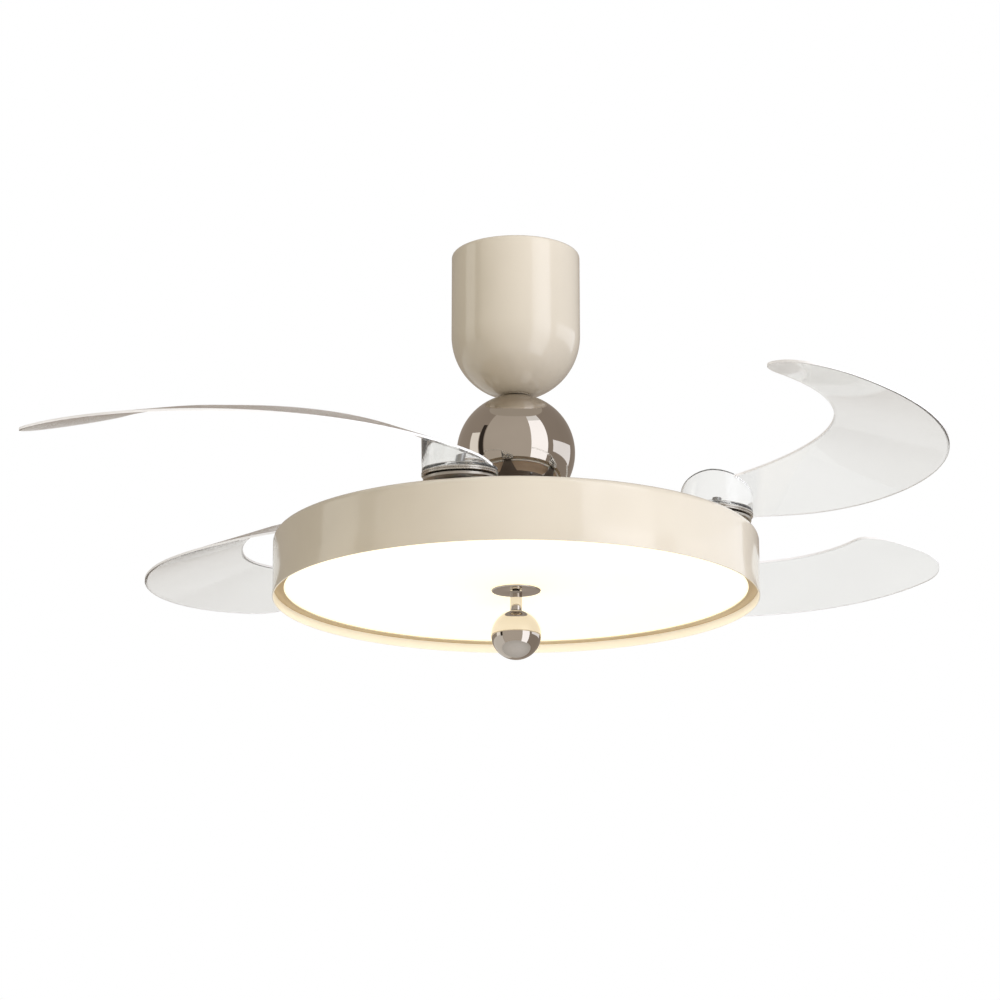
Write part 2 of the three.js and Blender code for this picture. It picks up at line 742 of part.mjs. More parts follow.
const bushingTop = -seatGap;
const gearTopLocal = gearThickness / 2 - gearDepth;
const bushingBottom = gearTopLocal + seatGap;
const gearBottomLocal = gearTopLocal - gearThickness;
const hubBottomLocal = gearBottomLocal - gearHubLength;
const springPostX = springRadius;
const springPostY = 31;
const springPostRadius = 2.6;
const stopHalf = (spokeHalfWidth + stopPostRadius + seatGap) / stopPostCircle;
const spokeLag = syncTravel / 2;   // spokes rest this far clockwise of their arm

function bladeCarrier() {
  const hubOuter = flangeRadius + 4;
  const hubInner = rotorInner + 0.5;
  let body = tube(hubInner, hubOuter, carrierBottom, carrierTop, rotorSegments);
  for (const angle of bladeAngles) {
    const arm = new THREE.Shape();
    arm.moveTo(hubInner + 8, -armRootHalfWidth);
    arm.quadraticCurveTo(pivotRadius * 0.62, -armTipHalfWidth * 0.75, pivotRadius, -armTipHalfWidth);
    arm.lineTo(pivotRadius, armTipHalfWidth);
    arm.quadraticCurveTo(pivotRadius * 0.62, armTipHalfWidth * 0.75, hubInner + 8, armRootHalfWidth);
    arm.closePath();
    body = body.add(spin(plate(arm, carrierBottom, carrierTop, 4), angle));
  }
  for (const angle of bladeAngles) {
    const frame = pivotFrame(angle).elements;
    const pad = rod(0, 0, -carrierGap - carrierThickness, -carrierGap, padRadius, 16)
      .transform(frame);
    const bushing = rod(0, 0, bushingBottom, bushingTop, bushingRadius, 10).transform(frame);
    const bore = rod(0, 0, bushingBottom - 5, bushingTop + 5, roundHole(pinRadius + seatGap, 8), 8)
      .transform(frame);
    const post = rod(springPostX, springPostY, hubBottomLocal, -carrierGap - 1, springPostRadius, 6)
      .transform(frame);
    body = body.add(pad).add(bushing).add(post).subtract(bore);
  }
  const spokeAngle = THREE.MathUtils.degToRad(firstBladeAngle) - spokeLag;
  for (const postAngle of [spokeAngle - stopHalf, spokeAngle + syncTravel + stopHalf]) {
    body = body.add(rod(stopPostCircle * Math.cos(postAngle), stopPostCircle * Math.sin(postAngle),
      syncBottom, carrierTop - 1, stopPostRadius, 8));
  }
  return withScrewHoles(body);
}
piece('blade_carrier', bladeCarrier(), castMetal());

// ---------------------------------------------------------------- gears
const pressureAngle = THREE.MathUtils.degToRad(20);
const addendum = 0.9 * gearModule;
const dedendum = 1.25 * gearModule;

// Half the angle that a tooth takes up at a radius, from the involute of the base circle.
function toothHalfAngle(pitchRadius, teeth, radius) {
  const involute = (angle) => Math.tan(angle) - angle;
  const base = pitchRadius * Math.cos(pressureAngle);
  const atRadius = Math.acos(Math.min(1, base / Math.max(radius, base)));
  return Math.PI / (2 * teeth) - backlash / (2 * pitchRadius)
    + involute(pressureAngle) - involute(atRadius);
}

// Corners of one tooth, from root to root, round its middle angle.
function toothCorners(pitchRadius, teeth, radii, middle) {
  const corners = [];
  const add = (radius, side) => {
    const angle = middle + side * toothHalfAngle(pitchRadius, teeth, radius);
    corners.push(new THREE.Vector2(radius * Math.cos(angle), radius * Math.sin(angle)));
  };
  radii.forEach((radius) => add(radius, -1));
  [...radii].reverse().forEach((radius) => add(radius, 1));
  return corners;
}

// A sector gear: teeth only on the arc that meets the sync ring, and a smaller plain back.
function bladeGear() {
  const root = bladeGearPitch - dedendum;
  const tip = bladeGearPitch + addendum;
  const radii = [root, bladeGearPitch, tip];
  const pitch = 2 * Math.PI / bladeGearTeeth;
  const lastTooth = Math.ceil(THREE.MathUtils.degToRad(foldAngle) / pitch) + gearSpareTeeth - 1;
  const corners = [];
  for (let tooth = -gearSpareTeeth; tooth < lastTooth; tooth++) {
    const middle = Math.PI + (tooth + 0.5) * pitch;
    corners.push(...toothCorners(bladeGearPitch, bladeGearTeeth, radii, middle));
  }
  const backStart = Math.PI + lastTooth * pitch;
  const backEnd = 3 * Math.PI - gearSpareTeeth * pitch;
  const backSteps = 6;
  for (let i = 0; i <= backSteps; i++) {
    const angle = backStart + (backEnd - backStart) * i / backSteps;
    corners.push(new THREE.Vector2(gearBackRadius * Math.cos(angle),
      gearBackRadius * Math.sin(angle)));
  }
  const shape = new THREE.Shape(corners);
  const wheel = plate(shape, gearBottomLocal, gearTopLocal);
  const hub = rod(0, 0, hubBottomLocal, gearTopLocal, gearHubRadius, 10);
  const bore = rod(0, 0, hubBottomLocal - 1, gearTopLocal + 1, roundHole(pinRadius + seatGap, 8), 8);
  return wheel.add(hub).subtract(bore);
}

// The rim carries teeth only where a blade gear runs.
function syncRing() {
  const root = syncPitch - dedendum;
  const radii = [root, syncPitch + addendum];
  const pitch = 2 * Math.PI / syncTeeth;
  const spare = 1;
  const behind = Math.ceil(syncTravel / pitch) + spare;
  const rimInner = root - syncRimWidth;
  const hubInner = roundHole(rotorRadius + seatGap, rotorSegments);
  const hubOuter = hubInner + syncHubWidth;
  let ring = tube(rimInner, root + 0.2, syncBottom, syncTop, 40)
    .add(tube(hubInner, hubOuter, syncBottom, syncTop, rotorSegments));
  const sector = new THREE.Shape();
  const corners = [];
  for (let tooth = -behind; tooth <= spare; tooth++) {
    corners.push(...toothCorners(syncPitch, syncTeeth, radii, tooth * pitch));
  }
  const first = -behind * pitch - toothHalfAngle(syncPitch, syncTeeth, root);
  const last = spare * pitch + toothHalfAngle(syncPitch, syncTeeth, root);
  const inner = root - syncRimWidth / 2;
  corners.push(new THREE.Vector2(inner * Math.cos(last), inner * Math.sin(last)));
  corners.push(new THREE.Vector2(inner * Math.cos((first + last) / 2),
    inner * Math.sin((first + last) / 2)));
  corners.push(new THREE.Vector2(inner * Math.cos(first), inner * Math.sin(first)));
  sector.setFromPoints(corners);
  const teeth = plate(sector, syncBottom, syncTop);
  const spoke = box(hubInner + syncHubWidth / 2, rimInner + syncRimWidth / 2,
    -spokeHalfWidth, spokeHalfWidth, syncBottom, syncTop);
  for (const angle of bladeAngles) {
    ring = ring.add(spin(teeth, angle))
      .add(spin(spoke, angle - THREE.MathUtils.radToDeg(spokeLag)));
  }
  return ring;
}
piece('sync_ring', syncRing(), nylon());

// ---------------------------------------------------------------- return spring
// A torsion spring round the gear's hub: a helix that runs out in a straight leg to its post.
class SpringPath extends THREE.Curve {
  constructor() {
    super();
    this.coil = springTurns * Math.hypot(2 * Math.PI * springRadius, springPitch);
    this.leg = springPostY - springPostRadius - seatGap;
  }

  getPoint(t, target = new THREE.Vector3()) {
    const along = t * (this.coil + this.leg);
    const bottom = hubBottomLocal + springWire;
    if (along > this.coil) return target.set(springRadius, along - this.coil, bottom);
    const left = 1 - along / this.coil;
    const angle = -left * springTurns * 2 * Math.PI;
    return target.set(springRadius * Math.cos(angle), springRadius * Math.sin(angle),
      bottom + left * springTurns * springPitch);
  }
}

// Least gap between the wire's own turns, measured on points half a turn or more apart.
function springSelfGap() {
  const path = new SpringPath();
  const points = path.getPoints(springTurns * 48);
  const apart = Math.round(points.length / springTurns * path.coil / (path.coil + path.leg) / 2);
  let least = Infinity;
  points.forEach((point, i) => {
    for (const other of points.slice(i + apart)) least = Math.min(least, point.distanceTo(other));
  });
  return least - springWire;
}
console.log(`return spring: least gap to itself ${springSelfGap().toFixed(2)} mm`);

function returnSpring() {
  const wire = new THREE.Shape();
  const sides = 5;
  for (let i = 0; i < sides; i++) {
    const angle = i * 2 * Math.PI / sides;
    const corner = [springWire / 2 * Math.cos(angle), springWire / 2 * Math.sin(angle)];
    if (i === 0) wire.moveTo(...corner);
    else wire.lineTo(...corner);
  }
  wire.closePath();
  return toSolid(new THREE.ExtrudeGeometry(wire, {
    steps: Math.round(springTurns * 8) + 5, bevelEnabled: false, extrudePath: new SpringPath(),
  }));
}

// ---------------------------------------------------------------- blades
const smoothNeck = (sweep, power) => Math.max(0, 1 - Math.max(0, sweep) / neckSweep) ** power;

// Height of the blade's mid-surface above the disc's underside, at a folded polar place.
function bladeHeight(radius, sweep) {
  const along = Math.max(0, sweep) / bladeSweep;
  const low = bladeDiscRise * Math.exp(-((Math.max(0, sweep) / bladeDiscSweep) ** 2))
    - bladeRootDip + bladeLowRise * (0.32 * along + 0.9 * along ** 4);
  const high = bladeRootRise + bladeTailRise * along ** 3;
  const highRadius = bladeInnerRadius + (pivotRadius - bossRadius - bladeInnerRadius)
    * smoothNeck(sweep, neckRidgePower);
  return high + (low - high) * (radius - highRadius) / (bladeOuterRadius - highRadius);
}

// Inner and outer radius of the outline at a sweep angle, with margin added round the boss.
function bladeEdges(sweep, margin) {
  const angle = THREE.MathUtils.degToRad(sweep);
  const reach = bossRadius + margin;
  const offset = pivotRadius * Math.sin(angle);
  const half = Math.sqrt(Math.max(0, reach ** 2 - offset ** 2));
  const inBoss = Math.abs(offset) < reach && Math.abs(sweep) < 60;
  const bossInner = pivotRadius * Math.cos(angle) - half;
  const bossOuter = pivotRadius * Math.cos(angle) + half;
  if (sweep < 0) return [bossInner, bossOuter];
  const tail = (start, power) => {
    const along = Math.max(0, (sweep - start) / (bladeSweep - start));
    return 1 - (1 - along ** power) ** (1 / power);
  };
  const tip = bladeOuterRadius - tailInset;
  let inner = bladeInnerRadius + neckWidth * smoothNeck(sweep, neckEdgePower);
  let outer = bladeOuterRadius;
  inner += (tip - inner) * tail(bladeSweep - tailLength + 2, 2.4);
  outer += (tip - outer) * tail(bladeSweep - tailLength + 1, 2.2);
  if (inBoss) {
    inner = Math.min(inner, bossInner);
    outer = Math.max(outer, bossOuter);
  }
  return [inner, outer];
}

// Folded polar place to the pivot's own frame, blade open.
function openPlace(radius, sweep, height, unlean) {
  const angle = THREE.MathUtils.degToRad(sweep);
  const place = new THREE.Vector3(radius * Math.cos(angle) - pivotRadius,
    -radius * Math.sin(angle), height);
  place.applyAxisAngle(new THREE.Vector3(0, 0, 1), THREE.MathUtils.degToRad(foldAngle));
  return place.applyMatrix4(unlean);
}

// A skin from below to above the mid-surface, as a grid of rulings closed at its edges.
function bladeSkin(margin, below, above) {
  const unlean = new THREE.Matrix4().makeRotationY(-tilt);
  const start = -THREE.MathUtils.radToDeg(Math.asin((bossRadius + margin) / pivotRadius)) + 0.12;
  const sweeps = [];
  const bossSteps = 5;
  for (let i = 0; i < bossSteps; i++) {
    const part = i / bossSteps;
    sweeps.push(start * Math.cos(part * Math.PI / 2));
  }
  for (let sweep = 0; sweep < bladeSweep - tailLength; sweep += sweep < 12 ? 4 : 12) {
    sweeps.push(sweep);
  }
  const tailSteps = 5;
  const tailArc = tailLength - 0.5;
  for (let i = 0; i <= tailSteps; i++) {
    sweeps.push(bladeSweep - 0.02 - tailArc * (1 - Math.sin(i / tailSteps * Math.PI / 2)));
  }
  const strips = 1;
  const places = [];
  for (const offset of [-below, above]) {
    for (const sweep of sweeps) {
      const [inner, outer] = bladeEdges(sweep, margin);
      for (let strip = 0; strip <= strips; strip++) {
        const radius = inner + (outer - inner) * strip / strips;
        places.push(...openPlace(radius, sweep, bladeHeight(radius, sweep) + offset, unlean));
      }
    }
  }
  const row = strips + 1;
  const layer = sweeps.length * row;
  const index = [];
  const quad = (a, b, c, d) => index.push(a, b, c, a, c, d);
  for (let i = 0; i < sweeps.length - 1; i++) {
    for (let strip = 0; strip < strips; strip++) {
      const a = i * row + strip;
      quad(a, a + 1, a + row + 1, a + row);
      quad(layer + a, layer + a + row, layer + a + row + 1, layer + a + 1);
    }
    const inside = i * row;
    const outside = inside + strips;
    quad(inside, inside + row, layer + inside + row, layer + inside);
    quad(outside, layer + outside, layer + outside + row, outside + row);
  }
  for (let strip = 0; strip < strips; strip++) {
    const first = strip;
    const last = (sweeps.length - 1) * row + strip;
    quad(first, layer + first, layer + first + 1, first + 1);
    quad(last, last + 1, layer + last + 1, layer + last);
  }
  const geometry = new THREE.BufferGeometry();
  geometry.setAttribute('position', new THREE.BufferAttribute(new Float32Array(places), 3));
  geometry.setIndex(index);
  return toSolid(geometry);
}

function blade() {
  const bottom = discThickness + seatGap;
  const hole = pinRadius + seatGap;
  const uncut = bladeRootRise + bladeTailRise;
  const boss = turned([
    [hole, bottom], [bossRadius, bottom], [bossRadius, uncut],
    [bossRadius - bossWall, uncut], [bossRadius - bossWall, bottom + bossFloor],
    [hole, bottom + bossFloor],
  ], 16);
  const over = bladeSkin(2, 0, bladeRootRise + tailInset);
  const sheet = bladeSkin(0, bladeThickness / 2, bladeThickness / 2);
  return boss.subtract(over)
    .add(sheet.subtract(rod(0, 0, 0, 2 * bladeRootRise, bossRadius - bossWall, 16)));
}

function pivotDisc() {
  return turned([
    [pinRadius + seatGap, 0], [discRadius, 0],
    [discRadius, discThickness / 3], [discRadius - discGrooveDepth, discThickness / 2],
    [discRadius, discThickness * 2 / 3],
    [discRadius, discThickness], [pinRadius + seatGap, discThickness],
  ], 20);
}

function pivotPin() {
  const seat = discThickness + bossFloor + 2 * seatGap;
  return turned([
    [0, hubBottomLocal - 3], [pinRadius - 1, hubBottomLocal - 3], [pinRadius, hubBottomLocal - 2],
    [pinRadius, seat], [washerRadius, seat], [washerRadius, seat + washerThickness],
    [pinHeadRadius, seat + washerThickness], [pinHeadRadius, seat + washerThickness + pinHeadHeight],
    [0, seat + washerThickness + pinHeadHeight],
  ], 10);
}

bladeAngles.forEach((angle, i) => {
  const pivot = new THREE.Group();
  pivot.applyMatrix4(pivotFrame(angle));
  fan.add(pivot);
  piece(`pivot_disc_${i + 1}`, pivotDisc(), castMetal(), pivot);
  piece(`pivot_pin_${i + 1}`, pivotPin(), zincSteel(), pivot);
  piece(`blade_gear_${i + 1}`, bladeGear(), nylon(), pivot);
  piece(`return_spring_${i + 1}`, returnSpring(), zincSteel(), pivot);
  piece(`blade_${i + 1}`, blade(), clearPlastic(), pivot);
});

// ---------------------------------------------------------------- lamp
const ledgeBottom = drumBottom + ledgeDepth;
const ledgeTop = ledgeBottom + ledgeThickness;
const drumInner = drumRadius - drumWall;

piece('lamp_housing', turned([
  [drumRadius, drumBottom],
  ...arc(drumRadius - drumEdgeRadius, drumTop - drumEdgeRadius, drumEdgeRadius, 0, 90, 2),
  ...arc(drumRadius - drumEdgeRadius, drumTop - drumEdgeRadius, drumEdgeRadius - drumWall, 90, 0, 2),
  [drumInner, ledgeTop],
  [drumInner - ledgeWidth, ledgeTop],
  [drumInner - ledgeWidth, ledgeBottom],
  [drumInner, ledgeBottom],
  [drumInner, drumBottom],
], 40), enamel());

piece('lamp_tray', turned([
  [shaftRadius + seatGap, trayBottom],
  [drumInner - seatGap, trayBottom],
  [drumInner - seatGap, trayBottom + trayUpstand],
  [drumInner - seatGap - trayThickness, trayBottom + trayUpstand],
  [drumInner - seatGap - trayThickness, trayTop],
  [shaftRadius + seatGap, trayTop],
], 40), whitePlastic());

function shaftNut() {
  const hex = new THREE.Shape();
  for (let i = 0; i < 6; i++) {
    const angle = i * Math.PI / 3;
    const corner = [nutRadius * Math.cos(angle), nutRadius * Math.sin(angle)];
    if (i === 0) hex.moveTo(...corner);
    else hex.lineTo(...corner);
  }
  hex.closePath();
  const top = trayBottom - seatGap;
  return plate(hex, top - nutHeight, top)
    .subtract(rod(0, 0, top - nutHeight - 1, top + 1, shaftRadius + seatGap, 16));
}
piece('shaft_nut', shaftNut(), zincSteel());

function ledBoard() {
  const top = trayBottom - seatGap;
  const bottom = top - boardThickness;
  let board = tube(nutRadius + 3, boardRadius, bottom, top, 32);
  for (const { inset, count } of ledRings) {
    const ring = boardRadius - inset;
    for (let i = 0; i < count; i++) {
      const led = box(ring - ledSize / 2, ring + ledSize / 2, -ledSize / 2, ledSize / 2,
        bottom - ledHeight, bottom + boardThickness / 2);
      board = board.add(spin(led, i * 360 / count));
    }
  }
  return board;
}
piece('led_board', ledBoard(), whitePlastic());

function ledDriver() {
  const bottom = trayTop + seatGap;
  const halfWidth = driverWidth / 2;
  const halfLength = driverLength / 2;
  const foot = 7;
  return box(driverOffset - halfWidth, driverOffset + halfWidth, -halfLength, halfLength,
    bottom, bottom + driverHeight)
    .add(box(driverOffset - halfWidth * 0.6, driverOffset + halfWidth * 0.6,
      -halfLength - foot, halfLength + foot, bottom, bottom + 2));
}
piece('led_driver', ledDriver(), whitePlastic());

const diffuserBottom = ledgeTop + seatGap;
piece('diffuser', tube(finialThreadRadius + 0.6, drumInner - seatGap, diffuserBottom,
  diffuserBottom + diffuserThickness, 40), opal());

// ---------------------------------------------------------------- finial
const finialPlateTop = diffuserBottom - seatGap;
const finialPlateBottom = finialPlateTop - finialPlateThickness;
const finialCentre = drumBottom - finialBallDrop;
const finialBallTop = finialCentre + Math.sqrt(finialBallRadius ** 2 - finialStemRadius ** 2);

piece('finial_plate', turned([
  [finialThreadRadius + seatGap, finialPlateBottom],
  [finialPlateRadius - 0.8, finialPlateBottom],
  [finialPlateRadius, finialPlateBottom + 0.8],
  [finialPlateRadius, finialPlateTop],
  [finialThreadRadius + seatGap, finialPlateTop],
], 28), chrome());

piece('finial_stem', turned([
  [0, finialBallTop + seatGap],
  [finialStemRadius, finialBallTop + seatGap],
  [finialStemRadius, finialPlateBottom - seatGap],
  [finialThreadRadius, finialPlateBottom - seatGap],
  [finialThreadRadius, shaftBottom + threadDepth - 1],
  [0, shaftBottom + threadDepth - 1],
], 16), chrome());

function finialBall() {
  const flat = THREE.MathUtils.radToDeg(Math.acos(finialStemRadius / finialBallRadius));
  return turned([
    ...arc(0, finialCentre, finialBallRadius, -90, flat, 8).map(([r, z], i) => (
      i === 0 ? [0, z] : [r, z])),
    [0, finialBallTop],
  ], 24);
}
piece('finial_ball', finialBall(), chrome());

export default fan;
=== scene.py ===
import math

import bmesh
import bpy
from mathutils import Matrix, Vector


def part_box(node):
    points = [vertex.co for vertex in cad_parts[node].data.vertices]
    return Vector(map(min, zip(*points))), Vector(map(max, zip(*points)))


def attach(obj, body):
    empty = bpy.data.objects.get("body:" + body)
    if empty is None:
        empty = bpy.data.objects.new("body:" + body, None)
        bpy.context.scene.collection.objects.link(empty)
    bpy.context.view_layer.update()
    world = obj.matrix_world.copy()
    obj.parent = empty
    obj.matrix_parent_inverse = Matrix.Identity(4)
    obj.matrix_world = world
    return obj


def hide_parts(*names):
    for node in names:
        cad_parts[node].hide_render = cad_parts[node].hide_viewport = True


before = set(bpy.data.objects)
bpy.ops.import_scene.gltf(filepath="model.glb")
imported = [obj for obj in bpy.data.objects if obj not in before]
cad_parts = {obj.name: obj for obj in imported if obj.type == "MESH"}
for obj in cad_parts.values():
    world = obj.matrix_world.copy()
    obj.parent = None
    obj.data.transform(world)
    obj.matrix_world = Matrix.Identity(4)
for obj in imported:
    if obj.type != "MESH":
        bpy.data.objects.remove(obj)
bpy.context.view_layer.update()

# ---------------------------------------------------------------- camera
# A long lens a little below the lamp, looking up at the fan, as in the photograph.
camera_data = bpy.data.cameras.new("camera")
camera_data.lens = 115.2
camera_data.sensor_width = 36
camera_data.clip_end = 60
look_up = 0.266
camera = bpy.data.objects.new("camera", camera_data)
camera.location = (-0.01654, -3.19803, -1.139)
camera.rotation_euler = (math.pi / 2 + look_up, 0, 0)
bpy.context.scene.collection.objects.link(camera)
bpy.context.scene.camera = camera

# ---------------------------------------------------------------- ceiling bracket
# A U-shaped frame pressed from 2.5 mm steel and zinc plated, screwed to the ceiling
# through its two slots. Its saddle carries the ball on the rod, and its tabs the canopy.
MM = 0.001


def linear(colour):
    """An sRGB hex colour as the linear values that a shader takes."""
    parts = [int(colour[i:i + 2], 16) / 255 for i in (1, 3, 5)]
    return (*[p / 12.92 if p <= 0.04045 else ((p + 0.055) / 1.055) ** 2.4 for p in parts], 1)


def add_node(tree, kind, inputs=None, **settings):
    """Adds a node, sets its settings, and links or sets its inputs."""
    node = tree.nodes.new(kind)
    for key, value in settings.items():
        setattr(node, key, value)
    for key, value in (inputs or {}).items():
        if isinstance(value, bpy.types.NodeSocket):
            tree.links.new(value, node.inputs[key])
        else:
            node.inputs[key].default_value = value
    return node


def finish(name, **values):
    """A material with its fixed values set on the shader; returns it with its tree and shader."""
    material = bpy.data.materials.new(name)
    material.use_nodes = True
    tree = material.node_tree
    shader = tree.nodes["Principled BSDF"]
    for key, value in values.items():
        shader.inputs[key.replace("_", " ")].default_value = value
    return material, tree, shader


def grain(tree, size, detail=3.0, stretch=(1, 1, 1)):
    """Noise whose features are about size metres across, in object coordinates."""
    place = add_node(tree, "ShaderNodeTexCoord").outputs["Object"]
    mapped = add_node(tree, "ShaderNodeMapping", {"Vector": place, "Scale": stretch})
    return add_node(tree, "ShaderNodeTexNoise", {
        "Vector": mapped.outputs["Vector"], "Scale": 1 / size, "Detail": detail}).outputs["Fac"]


def spread(tree, value, low, high):
    """A 0 to 1 pattern turned into values from low to high."""
    return add_node(tree, "ShaderNodeMapRange", {
        "Value": value, "From Min": 0.3, "From Max": 0.7,
        "To Min": low, "To Max": high}).outputs["Result"]


def two_tone(tree, value, first, second):
    """A colour that drifts between two hex colours with a pattern."""
    ramp = add_node(tree, "ShaderNodeValToRGB", {"Fac": value})
    ramp.color_ramp.elements[0].color = linear(first)
    ramp.color_ramp.elements[1].color = linear(second)
    ramp.color_ramp.elements[0].position = 0.3
    ramp.color_ramp.elements[1].position = 0.7
    return ramp.outputs["Color"]


def relief(tree, shader, value, depth):
    """Bump of a real depth in metres."""
    bump = add_node(tree, "ShaderNodeBump", {"Height": value, "Distance": depth, "Strength": 1.0})
    tree.links.new(bump.outputs["Normal"], shader.inputs["Normal"])


def smooth(mesh, angle=35):
    for face in mesh.polygons:
        face.use_smooth = True
    mesh.set_sharp_from_angle(angle=math.radians(angle))


def settle(name, shape, body, slot, material, *nodes):
    """Makes a piece of a bmesh: rides it on its body in place of the nodes that it stands for."""
    mesh = bpy.data.meshes.new(name)
    shape.to_mesh(mesh)
    shape.free()
    smooth(mesh)
    piece = bpy.data.objects.new(name, mesh)
    bpy.context.scene.collection.objects.link(piece)
    mesh.materials.append(material)
    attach(piece, body)
    if nodes:
        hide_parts(*nodes)
    return piece


def round_edges(shape, width, segments=2, angle=30):
    """Bevels every edge sharper than the angle; width in millimetres."""
    sharp = [e for e in shape.edges
             if e.is_manifold and e.calc_face_angle(0) > math.radians(angle)]
    bmesh.ops.bevel(shape, geom=sharp, offset=width * MM, offset_type="OFFSET", affect="EDGES",
                    segments=segments, profile=0.5, material=-1, clamp_overlap=True)


def eased(node, width, body, slot, material):
    """A copy of a built piece with its facets merged and its edges rounded."""
    shape = bmesh.new()
    shape.from_mesh(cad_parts[node].data)
    bmesh.ops.remove_doubles(shape, verts=shape.verts, dist=0.00001)
    bmesh.ops.dissolve_limit(shape, angle_limit=math.radians(1), verts=shape.verts,
                             edges=shape.edges)
    round_edges(shape, width)
    return settle(node + "_piece", shape, body, slot, material, node)


# Zinc plate on steel: bright grey metal with soft blotches of the plating, a few mm across.
zinc_plate, tree, shader = finish("zinc_plate", Metallic=1.0)
blotch = grain(tree, 0.006, 4)
tree.links.new(two_tone(tree, blotch, "#8C8F92", "#B4B6B8"), shader.inputs["Base Color"])
tree.links.new(spread(tree, blotch, 0.28, 0.42), shader.inputs["Roughness"])

eased("ceiling_bracket", 0.5, "frame", "zinc_steel", zinc_plate)

# ---------------------------------------------------------------- hanger ball, pin and rod
# A nylon ball on the end of a zinc-plated steel tube. A steel pin through both lets
# the rod hang in the bracket's saddle and find its own plumb.


def outline(shape, profile, closed=True):
    """Corners of (radius, height) in millimetres, joined by edges."""
    corners = [shape.verts.new((r * MM, 0, z * MM)) for r, z in profile]
    pairs = list(zip(corners, corners[1:]))
    if closed:
        pairs.append((corners[-1], corners[0]))
    return corners + [shape.edges.new(pair) for pair in pairs]


def turned(profile, closed=True, steps=128):
    """A profile spun round the fan's axis."""
    shape = bmesh.new()
    bmesh.ops.spin(shape, geom=outline(shape, profile, closed), cent=(0, 0, 0), axis=(0, 0, 1),
                   dvec=(0, 0, 0), angle=2 * math.pi, steps=steps, use_merge=True)
    bmesh.ops.remove_doubles(shape, verts=shape.verts, dist=0.000002)
    bmesh.ops.recalc_face_normals(shape, faces=shape.faces)
    return shape


def arc(r, z, radius, start, end, steps):
    """Corners along an arc, angles in degrees up from the outward direction."""
    angles = [math.radians(start + (end - start) * i / steps) for i in range(steps + 1)]
    return [(r + radius * math.cos(a), z + radius * math.sin(a)) for a in angles]


def extent(node):
    """Lowest corner, highest corner and outer radius of a built piece, in millimetres."""
    low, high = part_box(node)
    return low / MM, high / MM, max(high.x, -low.x, high.y, -low.y) / MM


low, high, _ = extent("hanger_ball")
ball_middle = (low.z + high.z) / 2
ball_half = (high.z - low.z) / 2
hanger_radius = 19
hanger_bore = 10.8
tilt_to_flat = math.degrees(math.asin(ball_half / hanger_radius))

# Natural nylon: translucent off-white, dull from the mould, with a faint grain.
nylon, tree, shader = finish("moulded_nylon", Subsurface_Weight=0.15, IOR=1.53)
speck = grain(tree, 0.0015)
tree.links.new(two_tone(tree, speck, "#E4E0D6", "#EFECE4"), shader.inputs["Base Color"])
tree.links.new(spread(tree, speck, 0.42, 0.55), shader.inputs["Roughness"])
relief(tree, shader, speck, 0.00002)

shape = turned([
    *arc(0, ball_middle, hanger_radius, -tilt_to_flat, tilt_to_flat, 20),
    (hanger_bore, ball_middle + ball_half), (hanger_bore, ball_middle - ball_half)], steps=64)
round_edges(shape, 0.4)
settle("hanger_ball_piece", shape, "frame", "nylon", nylon, "hanger_ball")

low, high, rod_radius = extent("down_rod")
rod_wall = 2
shape = turned([
    (rod_radius - rod_wall, low.z), (rod_radius, low.z),
    (rod_radius, high.z), (rod_radius - rod_wall, high.z)], steps=64)
round_edges(shape, 0.4)
settle("down_rod_piece", shape, "frame", "zinc_steel", zinc_plate, "down_rod")

eased("hanger_pin", 0.4, "frame", "zinc_steel", zinc_plate)

# ---------------------------------------------------------------- receiver and terminal block
# The remote receiver is a white ABS box with a seam lip, and the terminal block is
# moulded nylon; both lie on the bracket's saddle inside the canopy.

# Moulded ABS: even white, satin, with a fine spark-eroded texture.
white_abs, tree, shader = finish("moulded_abs", IOR=1.54)
texture = grain(tree, 0.0008)
tree.links.new(two_tone(tree, grain(tree, 0.02), "#EFEDE7", "#F6F4EF"),
               shader.inputs["Base Color"])
tree.links.new(spread(tree, texture, 0.38, 0.5), shader.inputs["Roughness"])
relief(tree, shader, texture, 0.000015)

eased("receiver_box", 0.8, "frame", "white_plastic", white_abs)
eased("terminal_block", 0.4, "frame", "nylon", nylon)

# ---------------------------------------------------------------- canopy
# A cup deep-drawn from steel, with a straight wall, a round bottom and a flange that
# twists onto the bracket's tabs. Sprayed with warm cream enamel and baked to a high gloss.
canopy_radius = extent("canopy")[2]
canopy_wall = 1.5
canopy_edge = 4
canopy_flange = 7
canopy_hole = 15.5
notch_half = 14
notch_skin = 0.05
dome_middle = -89.7
hole_angle = math.degrees(math.acos(canopy_hole / canopy_radius))

# Baked enamel: cream pigment under clear gloss, with the faint orange peel of a sprayed
# coat, drawn 6 mm across so that it just breaks the reflections.
enamel, tree, shader = finish("baked_enamel", Roughness=0.16, IOR=1.5, Coat_Weight=0.6,
                              Coat_Roughness=0.03)
tree.links.new(two_tone(tree, grain(tree, 0.09, 2), "#DACFBA", "#E0D5C0"),
               shader.inputs["Base Color"])
relief(tree, shader, grain(tree, 0.006, 1), 0.00003)

shape = turned([
    (canopy_radius - canopy_flange, 0),
    (canopy_radius - canopy_flange + canopy_wall, 0),
    *arc(canopy_radius - canopy_edge, -canopy_edge, canopy_edge, 90, 0, 8),
    *[(canopy_radius, -depth) for depth in (20, 40, 60)],
    *arc(0, dome_middle, canopy_radius, 0, -hole_angle, 40)], closed=False, steps=144)
in_notch = [f for f in shape.faces
            if f.calc_center_median().z > -notch_skin * MM
            and abs(f.calc_center_median().x) < notch_half * MM]
bmesh.ops.delete(shape, geom=in_notch, context="FACES")

